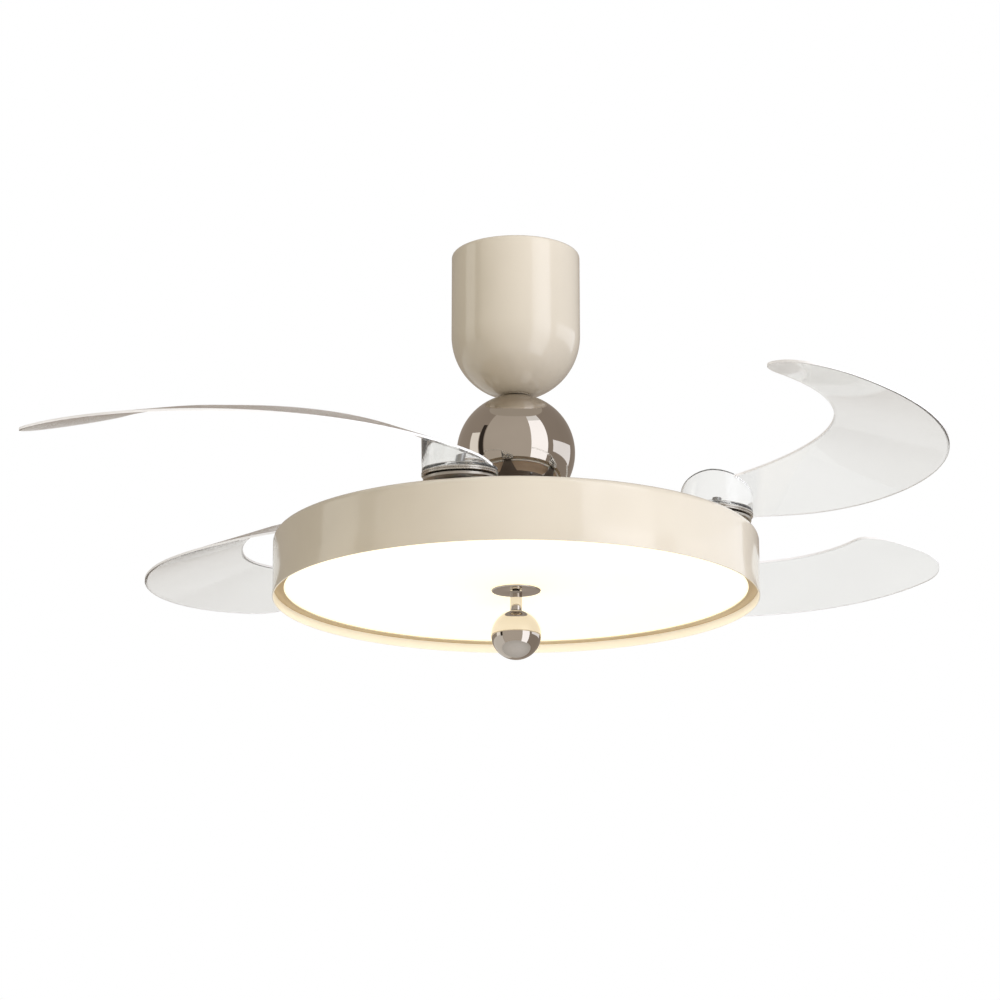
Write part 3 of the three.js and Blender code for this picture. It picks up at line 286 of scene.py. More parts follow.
# The open skin faces outward before it gets its wall.
upright = [f for f in shape.faces if abs(f.normal.z) < 0.2]
if sum(f.normal.to_2d().dot(f.calc_center_median().to_2d()) for f in upright) < 0:
    bmesh.ops.reverse_faces(shape, faces=shape.faces)
bmesh.ops.solidify(shape, geom=shape.faces, thickness=canopy_wall * MM)
round_edges(shape, 0.35, angle=60)
settle("canopy_shell", shape, "frame", "enamel", enamel, "canopy")

# A soft nylon collar closes the hole round the rod.
low, high, grommet_radius = extent("canopy_grommet")
neck_radius = canopy_hole - 0.3
neck_top = low.z + 4.5
shape = turned([
    (hanger_bore, low.z), (neck_radius, low.z), (neck_radius, neck_top),
    (grommet_radius, neck_top + 1), (grommet_radius, high.z), (hanger_bore, high.z)], steps=64)
round_edges(shape, 0.5)

# Nylon dyed through to match the enamel.
dyed_nylon, tree, shader = finish("dyed_nylon", IOR=1.53)
speck = grain(tree, 0.0015)
tree.links.new(two_tone(tree, speck, "#A5977F", "#B3A58D"), shader.inputs["Base Color"])
tree.links.new(spread(tree, speck, 0.42, 0.55), shader.inputs["Roughness"])
settle("grommet_piece", shape, "frame", "nylon", dyed_nylon, "canopy_grommet")

# ---------------------------------------------------------------- coupler in the ball
# A die-cast sleeve joins the rod to the motor's shaft with two through bolts. It is
# left as cast: grey, slightly rough, with a tumbled skin.
die_cast, tree, shader = finish("die_cast_aluminium", Metallic=1.0)
skin = grain(tree, 0.002, 5)
tree.links.new(two_tone(tree, skin, "#7C7873", "#948F89"), shader.inputs["Base Color"])
tree.links.new(spread(tree, skin, 0.4, 0.58), shader.inputs["Roughness"])
relief(tree, shader, skin, 0.00004)

eased("rod_coupler", 0.5, "frame", "cast_metal", die_cast)
eased("coupler_bolt_upper", 0.3, "frame", "zinc_steel", zinc_plate)
eased("coupler_bolt_lower", 0.3, "frame", "zinc_steel", zinc_plate)

# ---------------------------------------------------------------- ball cover and seat
# A thin ball spun from steel, polished and chrome plated. It hides the coupler and
# stands on a turned seat whose flange follows the ball's underside.
cover_radius = extent("ball_cover")[2]
cover_wall = 1.2
cover_middle = -217.1
top_hole = 10.8
bottom_hole = 18

# Chrome plate with a warm, slightly smoked tone: a mirror with the lightest haze of wear.
chrome, tree, shader = finish("smoked_chrome", Metallic=1.0)
tree.links.new(two_tone(tree, grain(tree, 0.05, 2), "#C9C2BA", "#D0C9C1"),
               shader.inputs["Base Color"])
tree.links.new(spread(tree, grain(tree, 0.03, 4), 0.02, 0.05), shader.inputs["Roughness"])


def opening_angle(radius, hole):
    """Angle up from the middle of a ball, in degrees, at which a hole cuts its skin."""
    return math.degrees(math.acos(hole / radius))


inner = cover_radius - cover_wall
shape = turned([
    *arc(0, cover_middle, cover_radius, -opening_angle(cover_radius, bottom_hole),
         opening_angle(cover_radius, top_hole), 72),
    *arc(0, cover_middle, inner, opening_angle(inner, top_hole),
         -opening_angle(inner, bottom_hole), 72)], steps=144)
settle("ball_cover_shell", shape, "frame", "chrome", chrome, "ball_cover")

low, high, seat_radius = extent("ball_seat")
shaft_radius = 8.8
spigot_radius = 17.7
seat_edge = 4
seat_gap = 0.6


def ball_under(radius):
    """Height of the seat's flange at a radius, just under the ball."""
    return cover_middle - math.sqrt(cover_radius ** 2 - radius ** 2) - seat_gap


shape = turned([
    (shaft_radius, low.z), (seat_radius - seat_edge, low.z), (seat_radius, low.z + seat_edge),
    *[(r, ball_under(r)) for r in (seat_radius, 24, 21, spigot_radius)],
    (spigot_radius, high.z), (shaft_radius, high.z)], steps=96)
round_edges(shape, 0.4)
settle("ball_seat_piece", shape, "frame", "chrome", chrome, "ball_seat")

# ---------------------------------------------------------------- motor
# An outer-rotor motor round a hollow steel shaft: laminated core, copper coils and two
# bearings inside, a spun cover over them and a cast base that carries the blades.
eased("motor_shaft", 0.4, "frame", "zinc_steel", zinc_plate)
eased("upper_bearing", 0.2, "frame", "zinc_steel", zinc_plate)
eased("lower_bearing", 0.2, "frame", "zinc_steel", zinc_plate)
eased("stator_hub", 0.3, "frame", "cast_metal", die_cast)

# Silicon steel sheets, varnished dark; the stack's lines are drawn 1 mm apart.
laminated, tree, shader = finish("laminated_steel", Metallic=0.8, Roughness=0.45)
place = add_node(tree, "ShaderNodeTexCoord").outputs["Object"]
layers = add_node(tree, "ShaderNodeTexWave", {"Vector": place, "Scale": 1000 / 6.283},
                  bands_direction="Z").outputs["Fac"]
tree.links.new(two_tone(tree, layers, "#4A443E", "#6C655D"), shader.inputs["Base Color"])
eased("stator_core", 0.2, "frame", "dark_metal", laminated)

# Enamelled copper wire, wound in the slots; the wires are drawn 0.8 mm apart.
copper_wire, tree, shader = finish("enamelled_copper", Metallic=1.0, Roughness=0.3)
place = add_node(tree, "ShaderNodeTexCoord").outputs["Object"]
wires = add_node(tree, "ShaderNodeTexWave", {
    "Vector": place, "Scale": 1250 / 6.283, "Distortion": 2.0}).outputs["Fac"]
tree.links.new(two_tone(tree, wires, "#8A4A26", "#C4764A"), shader.inputs["Base Color"])
relief(tree, shader, wires, 0.0001)
eased("stator_winding", 0.4, "frame", "copper", copper_wire)
eased("magnet_ring", 0.3, "rotor", "dark_metal", laminated)

# Satin bronze paint over the spun cover: dark brown, with a soft sheen.
bronze, tree, shader = finish("satin_bronze_paint", Metallic=0.5, IOR=1.5)
fleck = grain(tree, 0.0012, 4)
tree.links.new(two_tone(tree, fleck, "#4F4740", "#62584F"), shader.inputs["Base Color"])
tree.links.new(spread(tree, fleck, 0.3, 0.42), shader.inputs["Roughness"])

low, high, flange_radius = extent("rotor_cover")
cover_edge = 80
cover_shoulder = 18
shaft_hole = 10
sheet = 2.5
flange_sheet = 2
flange_top = low.z + flange_sheet
rise = high.z - flange_top
shoulder_middle = cover_edge - cover_shoulder
bend = [math.pi / 2 * i / 14 for i in range(15)]
outer_curve = [(shoulder_middle + cover_shoulder * math.sin(t), flange_top + rise * math.cos(t))
               for t in bend]
inner_curve = [(shoulder_middle + (cover_shoulder - sheet * 1.5) * math.sin(t),
                low.z + (rise + flange_sheet - sheet) * math.cos(t)) for t in reversed(bend)]
shape = turned([
    (shaft_hole, high.z - sheet), (shaft_hole, high.z), *outer_curve,
    (flange_radius, flange_top), (flange_radius, low.z), *inner_curve], steps=128)
round_edges(shape, 0.5)
settle("rotor_cover_piece", shape, "rotor", "dark_metal", bronze, "rotor_cover")

low, high, base_flange = extent("rotor_base")
base_radius = 78
base_inner = 75.5
base_edge = 3
shape = turned([
    (base_inner, high.z), (base_flange, high.z), (base_flange, high.z - flange_sheet),
    (base_radius, high.z - flange_sheet), (base_radius, low.z + base_edge),
    (base_radius - base_edge, low.z),
    (shaft_hole, low.z), (shaft_hole, low.z + sheet), (base_inner, low.z + sheet)], steps=128)
round_edges(shape, 0.5)
settle("rotor_base_piece", shape, "rotor", "cast_metal", die_cast, "rotor_base")
for i in range(1, 5):
    eased(f"rotor_screw_{i}", 0.25, "rotor", "zinc_steel", zinc_plate)

# ---------------------------------------------------------------- blade carrier
# A four-armed spider pressed from aluminium plate. Each arm ends in a pad that leans a
# little outward, with a bushing for the blade's pivot, so the folded blades overlap.
blade_count = 4
first_angle = -15.3
lean = math.radians(3.5)
pivot_radius = 210.638
disc_bottom = -299.5
disc_gap = 1.6
carrier_sheet = 3
carrier_top = disc_bottom - disc_gap
carrier_bottom = carrier_top - carrier_sheet
hub_inner = 76
hub_outer = 96
arm_start = 84
arm_root_half = 30
arm_waist_half = 15.75
arm_tip_half = 21
pad_radius = 36
pad_bottom = -disc_gap - carrier_sheet
bushing_bore = 6.4
bushing_radius = 12
bushing_top = -0.3
bushing_bottom = -8.4
post_radius = 2.6
post_length = 20.6
post_middle = (10.5, 31, -12.9)


def pivot_frame(index):
    """Places a piece made round its own pivot, whose origin is the pivot disc's underside."""
    angle = math.radians(first_angle - index * 360 / blade_count)
    return (Matrix.Rotation(angle, 4, "Z")
            @ Matrix.Translation((pivot_radius * MM, 0, disc_bottom * MM))
            @ Matrix.Rotation(lean, 4, "Y"))


def absorb(shape, other):
    """Adds one bmesh to another."""
    mesh = bpy.data.meshes.new("part")
    other.to_mesh(mesh)
    other.free()
    shape.from_mesh(mesh)
    bpy.data.meshes.remove(mesh)


def plate(corners, bottom, top):
    """A flat outline in millimetres, extruded from bottom to top."""
    shape = bmesh.new()
    face = shape.faces.new([shape.verts.new((x * MM, y * MM, bottom * MM)) for x, y in corners])
    lifted = bmesh.ops.extrude_face_region(shape, geom=[face])["geom"]
    bmesh.ops.translate(shape, vec=(0, 0, (top - bottom) * MM),
                        verts=[v for v in lifted if isinstance(v, bmesh.types.BMVert)])
    bmesh.ops.recalc_face_normals(shape, faces=shape.faces)
    return shape


def arm_half(part):
    """Half the arm's width, from its root at 0 to its pad at 1."""
    return ((1 - part) ** 2 * arm_root_half + 2 * part * (1 - part) * arm_waist_half
            + part ** 2 * arm_tip_half)


shape = turned([(hub_inner, carrier_bottom), (hub_outer, carrier_bottom),
                (hub_outer, carrier_top), (hub_inner, carrier_top)])
steps = [i / 16 for i in range(17)]
for index in range(blade_count):
    along = [(arm_start + (pivot_radius - arm_start) * p, arm_half(p)) for p in steps]
    arm = plate([(x, -y) for x, y in along] + [(x, y) for x, y in reversed(along)],
                carrier_bottom, carrier_top)
    bmesh.ops.rotate(arm, verts=arm.verts, cent=(0, 0, 0), matrix=Matrix.Rotation(
        math.radians(first_angle - index * 90), 3, "Z"))
    absorb(shape, arm)
    pad = turned([(bushing_bore, pad_bottom), (pad_radius, pad_bottom), (pad_radius, -disc_gap),
                  (bushing_radius, -disc_gap), (bushing_radius, bushing_top),
                  (bushing_bore, bushing_top)], steps=72)
    bmesh.ops.transform(pad, verts=pad.verts, matrix=pivot_frame(index))
    for face in pad.faces:
        face.material_index = 1
    absorb(shape, pad)
    bushing = turned([(bushing_bore, bushing_bottom), (bushing_radius, bushing_bottom),
                      (bushing_radius, pad_bottom), (bushing_bore, pad_bottom)], steps=48)
    bmesh.ops.transform(bushing, verts=bushing.verts, matrix=pivot_frame(index))
    absorb(shape, bushing)
    spring_post = bmesh.new()
    bmesh.ops.create_cone(spring_post, cap_ends=True, segments=24, radius1=post_radius * MM,
                          radius2=post_radius * MM, depth=post_length * MM,
                          matrix=Matrix.Translation(Vector(post_middle) * MM))
    bmesh.ops.transform(spring_post, verts=spring_post.verts, matrix=pivot_frame(index))
    absorb(shape, spring_post)
round_edges(shape, 0.5)

# The pads are faced on a lathe and left bare: a grey alloy with fine rings.
faced_alloy, tree, shader = finish("faced_alloy", Metallic=1.0)
tree.links.new(two_tone(tree, grain(tree, 0.01), "#B9B5AE", "#C6C2BB"),
               shader.inputs["Base Color"])
tree.links.new(spread(tree, grain(tree, 0.002, 3), 0.3, 0.42), shader.inputs["Roughness"])
piece = settle("blade_carrier_piece", shape, "rotor", "cast_metal", bronze, "blade_carrier")
piece.data.materials.append(faced_alloy)

# ---------------------------------------------------------------- sync ring and gears
# A ring moulded in white acetal turns a little on the motor's base. Its four toothed
# stretches run in the gears under the blades and keep all the blades in step.
low, high, _ = extent("sync_ring")
fold_angle = 95
gear_module = 3
gear_teeth = 16
sync_teeth = 124
sync_pitch = gear_module * sync_teeth / 2
sync_root = sync_pitch - 1.25 * gear_module
sync_tip = sync_pitch + 0.9 * gear_module
rim_outer = sync_root + 0.2
rim_inner = sync_root - 9
sync_hub_inner = 79.3
sync_hub_outer = 89.3
spoke_half = 6
spoke_overlap = 4
rest_lag = fold_angle * gear_teeth / sync_teeth / 2
tooth_pitch = 360 / sync_teeth
tooth_overlap = 2
root_half = 1.02
tip_half = 0.44

shape = turned([(rim_inner, low.z), (rim_outer, low.z), (rim_outer, high.z),
                (rim_inner, high.z)], steps=160)
absorb(shape, turned([(sync_hub_inner, low.z), (sync_hub_outer, low.z),
                      (sync_hub_outer, high.z), (sync_hub_inner, high.z)]))
spoke_ends = (sync_hub_outer - spoke_overlap, rim_inner + spoke_overlap)
for index in range(blade_count):
    angle = first_angle - index * 90
    spoke = plate([(spoke_ends[0], -spoke_half), (spoke_ends[1], -spoke_half),
                   (spoke_ends[1], spoke_half), (spoke_ends[0], spoke_half)], low.z, high.z)
    bmesh.ops.rotate(spoke, verts=spoke.verts, cent=(0, 0, 0), matrix=Matrix.Rotation(
        math.radians(angle - rest_lag), 3, "Z"))
    absorb(shape, spoke)
    for number in range(-6, 2):
        middle = angle + number * tooth_pitch
        corners = [(sync_root - tooth_overlap, middle - root_half),
                   (sync_root, middle - root_half),
                   (sync_tip, middle - tip_half), (sync_tip, middle + tip_half),
                   (sync_root, middle + root_half),
                   (sync_root - tooth_overlap, middle + root_half)]
        absorb(shape, plate([(r * math.cos(math.radians(a)), r * math.sin(math.radians(a)))
                             for r, a in corners], low.z, high.z))
round_edges(shape, 0.25)
settle("sync_ring_piece", shape, "sync", "nylon", nylon, "sync_ring")

for i in range(1, 5):
    eased(f"blade_gear_{i}", 0.2, f"blade_unit_{i}", "nylon", nylon)

# Spring steel wire, oil-tempered: dark grey with a dull shine.
spring_wire, tree, shader = finish("spring_steel", Metallic=1.0)
oil = grain(tree, 0.003, 4)
tree.links.new(two_tone(tree, oil, "#6E6C69", "#8B8986"), shader.inputs["Base Color"])
tree.links.new(spread(tree, oil, 0.3, 0.42), shader.inputs["Roughness"])
wire = 1.6
coil_radius = 10.5
coil_pitch = 2.2
coil_turns = 2.5
coil_steps = 60
coil_bottom = -21.6
leg_length = 28.1
leg_steps = 4

for index in range(blade_count):
    turns = [coil_turns * (i / coil_steps - 1) for i in range(coil_steps + 1)]
    places = [(coil_radius * math.cos(2 * math.pi * t), coil_radius * math.sin(2 * math.pi * t),
               coil_bottom - t * coil_pitch) for t in turns]
    places += [(coil_radius, leg_length * i / leg_steps, coil_bottom)
               for i in range(1, leg_steps + 1)]
    curve = bpy.data.curves.new(f"return_spring_{index + 1}_wire", "CURVE")
    curve.dimensions = "3D"
    curve.bevel_depth = wire / 2 * MM
    curve.bevel_resolution = 3
    curve.use_fill_caps = True
    spline = curve.splines.new("POLY")
    spline.points.add(len(places) - 1)
    for point, place in zip(spline.points, places):
        point.co = (*(pivot_frame(index) @ (Vector(place) * MM)), 1)
    curve.materials.append(spring_wire)
    piece = bpy.data.objects.new(curve.name, curve)
    bpy.context.scene.collection.objects.link(piece)
    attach(piece, "rotor")
    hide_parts(f"return_spring_{index + 1}")

# ---------------------------------------------------------------- pivot discs and pins
# Each blade stands on a turned and plated disc with a groove round its edge. A steel pin
# with a washer and a tall head holds the blade's boss and turns in the carrier's bushing.
disc_radius = 37.5
disc_height = 4
groove_depth = 1.2
boss_floor = 3
pin_radius = 6
pin_play = 0.3
pin_bottom = -26.2
pin_edge = 1
washer_radius = 10
washer_sheet = 1.4
head_radius = 4.6
head_height = 9
pin_seat = disc_height + boss_floor + 0.6
washer_top = pin_seat + washer_sheet

# Plated zinc, turned and then buffed: a pale grey with fine rings in it.
plated_disc, tree, shader = finish("plated_zinc", Metallic=1.0)
tree.links.new(two_tone(tree, grain(tree, 0.01), "#CBC8C3", "#D8D5D0"),
               shader.inputs["Base Color"])
tree.links.new(spread(tree, grain(tree, 0.002, 3), 0.22, 0.34), shader.inputs["Roughness"])

for index in range(blade_count):
    place = pivot_frame(index)
    shape = turned([
        (pin_radius + pin_play, 0), (disc_radius - 0.6, 0), (disc_radius, 0.5),
        (disc_radius, 1.3), (disc_radius - groove_depth, disc_height / 2), (disc_radius, 2.7),
        (disc_radius, disc_height - 0.4), (disc_radius - 0.4, disc_height),
        (pin_radius + pin_play, disc_height)], steps=96)
    round_edges(shape, 0.2, angle=25)
    bmesh.ops.transform(shape, verts=shape.verts, matrix=place)
    settle(f"pivot_disc_{index + 1}_piece", shape, f"blade_unit_{index + 1}", "cast_metal",
           plated_disc, f"pivot_disc_{index + 1}")
    shape = turned([
        (0, pin_bottom), (pin_radius - pin_edge, pin_bottom),
        (pin_radius, pin_bottom + pin_edge), (pin_radius, pin_seat),
        (washer_radius, pin_seat), (washer_radius, washer_top), (head_radius, washer_top),
        (head_radius, washer_top + head_height), (0, washer_top + head_height)],
        closed=False, steps=64)
    round_edges(shape, 0.4)
    bmesh.ops.transform(shape, verts=shape.verts, matrix=place)
    settle(f"pivot_pin_{index + 1}_piece", shape, "rotor", "zinc_steel", zinc_plate,
           f"pivot_pin_{index + 1}")

# ---------------------------------------------------------------- blades
# Sickle blades injection moulded in clear ABS, 2.4 mm thick, each with a round cup at its
# root for the pivot. Folded, a blade is a stretch of a ring round the fan's axis.
blade_reach = 34.4
blade_width = 108
blade_outer = pivot_radius + blade_reach
blade_inner = blade_outer - blade_width
blade_sweep = 148.5
blade_thickness = 2.4
root_rise = 38.5
tail_rise = 16.5
low_rise = 24
low_start = -1
boss_lift = 8
boss_lift_sweep = 22
neck_width = 55
neck_sweep = 85
boss_radius = 37
boss_wall = 2.5
boss_edge = 1.2
boss_fillet = 1
skirt_sweep = 16
tail_length = 15
tail_inset = 50
wall_reach = boss_radius - 0.8


def neck(sweep, power):
    """1 at the boss, falling to 0 where the blade has its full width."""
    return max(0, 1 - max(0, sweep) / neck_sweep) ** power


def blade_height(radius, sweep):
    """Height of the blade's middle above the disc's underside, at a folded place."""
    sweep = max(0, sweep)
    along = sweep / blade_sweep
    low_edge = (low_start + boss_lift * math.exp(-((sweep / boss_lift_sweep) ** 2))
                + low_rise * (0.32 * along + 0.9 * along ** 4))
    high_edge = root_rise + tail_rise * along ** 3
    high_radius = blade_inner + (pivot_radius - boss_radius - blade_inner) * neck(sweep, 1.3)
    return high_edge + (low_edge - high_edge) * (radius - high_radius) / (
        blade_outer - high_radius)


def blade_edges(sweep):
    """Inner and outer radius of the blade's outline at a sweep angle in degrees."""
    def tail(start, power):
        """0 before the tail, then a rounded rise to 1 at the blade's end."""
        part = max(0, (sweep - start) / (blade_sweep - start))
        return 1 - (1 - part ** power) ** (1 / power)

    tip = blade_outer - tail_inset
    tail_start = blade_sweep - tail_length
    inner = blade_inner + neck_width * neck(sweep, 2.2)
    inner += (tip - inner) * tail(tail_start + 2, 2.4)
    outer = blade_outer + (tip - blade_outer) * tail(tail_start + 1, 2.2)
    return inner, outer


def folded_place(radius, sweep):
    """Flat place of a folded polar point, from the pivot."""
    a = math.radians(sweep)
    return Vector((radius * math.cos(a) - pivot_radius, -radius * math.sin(a)))


def departure(side):
    """Sweep at which the blade's inner (0) or outer (1) edge leaves the boss's wall."""
    low, high = 0, skirt_sweep
    for _ in range(30):
        middle = (low + high) / 2
        inside = folded_place(blade_edges(middle)[side], middle).length < wall_reach
        low, high = (middle, high) if inside else (low, middle)
    return low


def skirt_place(along, across):
    """A patch from the boss's round wall to the blade's full width, by its four edges."""
    def edge(part, side):
        sweep = leaving[side] + (skirt_sweep - leaving[side]) * part
        return folded_place(blade_edges(sweep)[side], sweep)

    def wall(part):
        ends = [math.atan2(*reversed(edge(0, side))) for side in (0, 1)]
        a = ends[0] + (ends[1] - ends[0]) * part
        return Vector((math.cos(a), math.sin(a))) * wall_reach

    far_row = edge(1, 0).lerp(edge(1, 1), across)
    place = edge(along, 0) * (1 - across) + edge(along, 1) * across
    place += wall(across) * (1 - along) + far_row * along
    return place - wall(0).lerp(wall(1), across) * (1 - along) - far_row * along


leaving = [departure(0), departure(1)]


def height_at(place):
    """Blade height at a flat place measured from the pivot, folded."""
    x, y = place.x + pivot_radius, place.y
    return blade_height(math.hypot(x, y), math.degrees(math.atan2(-y, x)))


def opened(place, height):
    """A folded place and its height turned to the open blade, in the fan's own frame."""
    turn = Matrix.Rotation(math.radians(fold_angle), 3, "Z")
    return turn @ Vector((place.x, place.y, height))


def blade_sheet(index):
    """The blade as a grid: its skirt rows leave the boss, its tail rows crowd at the end."""
    rows = 132
    columns = 28
    skirt_rows = 24
    tail_rows = 30
    straight_rows = rows - skirt_rows - tail_rows
    tail_start = blade_sweep - tail_length
    short_of_end = 0.02
    shape = bmesh.new()
    bmesh.ops.create_grid(shape, x_segments=rows, y_segments=columns, size=1)
    for vert in shape.verts:
        row = round((vert.co.x + 1) / 2 * rows)
        across = (vert.co.y + 1) / 2
        if row <= skirt_rows:
            place = skirt_place(row / skirt_rows, across)
        else:
            part = (row - skirt_rows) / straight_rows
            sweep = skirt_sweep + (tail_start - skirt_sweep) * part
            if part > 1:
                part = (row - skirt_rows - straight_rows) / tail_rows
                sweep = tail_start + (tail_length - short_of_end) * math.sin(part * math.pi / 2)
            inner, outer = blade_edges(sweep)
            place = folded_place(inner + (outer - inner) * across, sweep)
        vert.co = opened(place, height_at(place) - blade_thickness / 2)
    upper = bmesh.ops.extrude_face_region(shape, geom=shape.faces)["geom"]
    bmesh.ops.translate(shape, vec=(0, 0, blade_thickness),
                        verts=[v for v in upper if isinstance(v, bmesh.types.BMVert)])
    bmesh.ops.recalc_face_normals(shape, faces=shape.faces)
    # Rim faces take the second material, the one with the painted glow.
    for face in shape.faces:
        face.material_index = 1 if abs(face.normal.z) < 0.3 else 0
    place = (Matrix.Scale(MM, 4)
             @ Matrix.Rotation(math.radians(first_angle - index * 90), 4, "Z")
             @ Matrix.Translation((pivot_radius, 0, disc_bottom)))
    bmesh.ops.transform(shape, verts=shape.verts, matrix=place)
    round_edges(shape, 0.7, segments=3, angle=60)
    return shape


def blade_boss(index):
    """The cup at the root: its wall is cut off along the blade's sloping middle."""
    bottom = disc_height + 0.3
    floor_top = bottom + boss_floor
    full = 60
    sink = 0.3
    cup_radius = boss_radius - boss_wall
    shape = turned([
        (pin_radius + pin_play, bottom), (boss_radius - boss_edge, bottom),
        *arc(boss_radius - boss_edge, bottom + boss_edge, boss_edge, -90, 0, 4),
        (boss_radius, full), (cup_radius, full),
        *arc(cup_radius - boss_fillet, floor_top + boss_fillet, boss_fillet, 0, -90, 4),
        (pin_radius + pin_play, floor_top)], steps=128)
    unfold = Matrix.Rotation(math.radians(-fold_angle), 3, "Z")
    for vert in shape.verts:
        if vert.co.z > (full - 1) * MM:
            flat = vert.co / MM
            height = 20
            # The wall leans, so its height is found in a few rounds from a first guess.
            for _ in range(3):
                x = flat.x * math.cos(lean) + height * math.sin(lean)
                place = (unfold @ Vector((x, flat.y, 0))).to_2d()
                level = height_at(place) + blade_thickness / 2 - sink
                height = (level + flat.x * math.sin(lean)) / math.cos(lean)
            vert.co.z = height * MM
    bmesh.ops.recalc_face_normals(shape, faces=shape.faces)
    round_edges(shape, 0.3, angle=40)
    bmesh.ops.transform(shape, verts=shape.verts, matrix=pivot_frame(index))
    return shape


# Clear ABS: nearly colourless, faintly grey through its thickness, with a polished skin.
clear_abs, tree, shader = finish("clear_abs", Transmission_Weight=0.97, IOR=1.49,
                                 Specular_IOR_Level=0.35)
tree.links.new(two_tone(tree, grain(tree, 0.12, 1), "#F4F4F2", "#F8F8F6"),
               shader.inputs["Base Color"])
tree.links.new(spread(tree, grain(tree, 0.02, 3), 0.02, 0.06), shader.inputs["Roughness"])

# The blade's rim: a painted glow, emission that stands for light trapped in the sheet leaving it
# here, so it shows pale.
abs_edge_painted_glow, tree, shader = finish("clear_abs_edge", Transmission_Weight=0.2, IOR=1.49,
                                Roughness=0.25, Emission_Color=linear("#FFFFFF"),
                                Emission_Strength=0.22)
tree.links.new(two_tone(tree, grain(tree, 0.05, 2), "#EFEAE5", "#F6F3EF"),
               shader.inputs["Base Color"])

for index in range(blade_count):
    shape = blade_sheet(index)
    absorb(shape, blade_boss(index))
    piece = settle(f"blade_{index + 1}_piece", shape, f"blade_unit_{index + 1}",
                   "clear_plastic", clear_abs, f"blade_{index + 1}")
    piece.data.materials.append(abs_edge_painted_glow)
    # Clear plastic lets the light through to the drum.
    piece.visible_shadow = False

# ---------------------------------------------------------------- lamp housing and tray
# A drum ring rolled and spun from steel with a rounded top edge, in the canopy's enamel.
# Its inner lip carries the diffuser, and the lamp's light on it is painted in as a glow.
low, high, drum_radius = extent("lamp_housing")
drum_wall = 1.5
drum_edge = 7
ledge_depth = 9.5
ledge_width = 10.3
ledge_sheet = 1.4
ledge_bend = 0.4
rim = 0.6
drum_inner = drum_radius - drum_wall
ledge_bottom = low.z + ledge_depth
ledge_top = ledge_bottom + ledge_sheet

# The same enamel inside the lip, with the lamp's light painted in: its wall is a bright cream
# with a painted glow of emission, and its ledge a deeper gold of painted lamp light.
lip_painted_glow, tree, shader = finish("baked_enamel_painted_lamp_glow", Roughness=0.25, IOR=1.5,
                                  Emission_Color=linear("#FFF4DC"), Emission_Strength=0.25)
tree.links.new(two_tone(tree, grain(tree, 0.09, 2), "#F2EBDB", "#F7F1E4"),
               shader.inputs["Base Color"])
ledge_painted_lamp_light, tree, shader = finish("baked_enamel_ledge_painted_light", Roughness=0.3, IOR=1.5)
tree.links.new(two_tone(tree, grain(tree, 0.09, 2), "#CDB284", "#D6BE93"),
               shader.inputs["Base Color"])

edge_middle = (drum_radius - drum_edge, high.z - drum_edge)
shape = turned([
    (drum_radius, low.z + rim), (drum_radius, low.z + 20), (drum_radius, low.z + 40),
    *arc(*edge_middle, drum_edge, 0, 90, 12),
    *arc(*edge_middle, drum_edge - drum_wall, 90, 0, 8),
    (drum_inner, ledge_top), (drum_inner - ledge_width, ledge_top),
    (drum_inner - ledge_width, ledge_bottom), (drum_inner - ledge_bend, ledge_bottom),
    (drum_inner, ledge_bottom - ledge_bend), (drum_inner, low.z + rim),
    *arc(drum_radius - drum_wall / 2, low.z + rim, drum_wall / 2, 180, 360, 6)[1:-1]],
    steps=256)
round_edges(shape, 0.3, angle=50)
# The lip's inner wall and the ledge's underside take the enamel copies with painted lamp light.
for face in shape.faces:
    middle = face.calc_center_median() / MM
    inside = math.hypot(middle.x, middle.y) < drum_radius - 0.4
    if inside and middle.z < ledge_bottom + 0.1:
        face.material_index = 2 if middle.z > ledge_bottom - 0.5 else 1
piece = settle("lamp_housing_ring", shape, "frame", "enamel", enamel, "lamp_housing")
piece.data.materials.append(lip_painted_glow)
piece.data.materials.append(ledge_painted_lamp_light)

low, high, tray_radius = extent("lamp_tray")
tray_sheet = 1.5
tray_edge = 1
tray_inner = tray_radius - tray_sheet
tray_floor = low.z + tray_sheet
shape = turned([
    (shaft_radius, low.z), (tray_radius - tray_edge, low.z), (tray_radius, low.z + tray_edge),
    (tray_radius, high.z), (tray_inner, high.z), (tray_inner, tray_floor + tray_edge),
    (tray_inner - tray_edge, tray_floor), (shaft_radius, tray_floor)], steps=192)
round_edges(shape, 0.3)

# Powder coat on the steel tray: matt white with a fine pebble, drawn 1 mm across.
powder_white, tree, shader = finish("white_powder_coat", IOR=1.5)
pebble = grain(tree, 0.001, 2)
tree.links.new(two_tone(tree, grain(tree, 0.04), "#EDEAE2", "#F3F1EA"),
               shader.inputs["Base Color"])
tree.links.new(spread(tree, pebble, 0.5, 0.62), shader.inputs["Roughness"])
relief(tree, shader, pebble, 0.00004)

# The tray's upper side, which faces the motor, is given a satin tan: painted shade, the shadow
# under the motor drawn into its colour.
tray_painted_shade, tree, shader = finish("painted_shade_satin_tan", Roughness=0.38, IOR=1.5)
tree.links.new(two_tone(tree, grain(tree, 0.04), "#BFA88F", "#CBB49C"),
               shader.inputs["Base Color"])
# Faces that point up take the painted shade.
for face in shape.faces:
    face.material_index = 1 if face.normal.z > 0.5 else 0
piece = settle("lamp_tray_piece", shape, "frame", "white_plastic", powder_white, "lamp_tray")
piece.data.materials.append(tray_painted_shade)
eased("shaft_nut", 0.4, "frame", "zinc_steel", zinc_plate)
eased("led_driver", 0.8, "frame", "white_plastic", white_abs)
eased("led_board", 0.15, "frame", "white_plastic", powder_white)

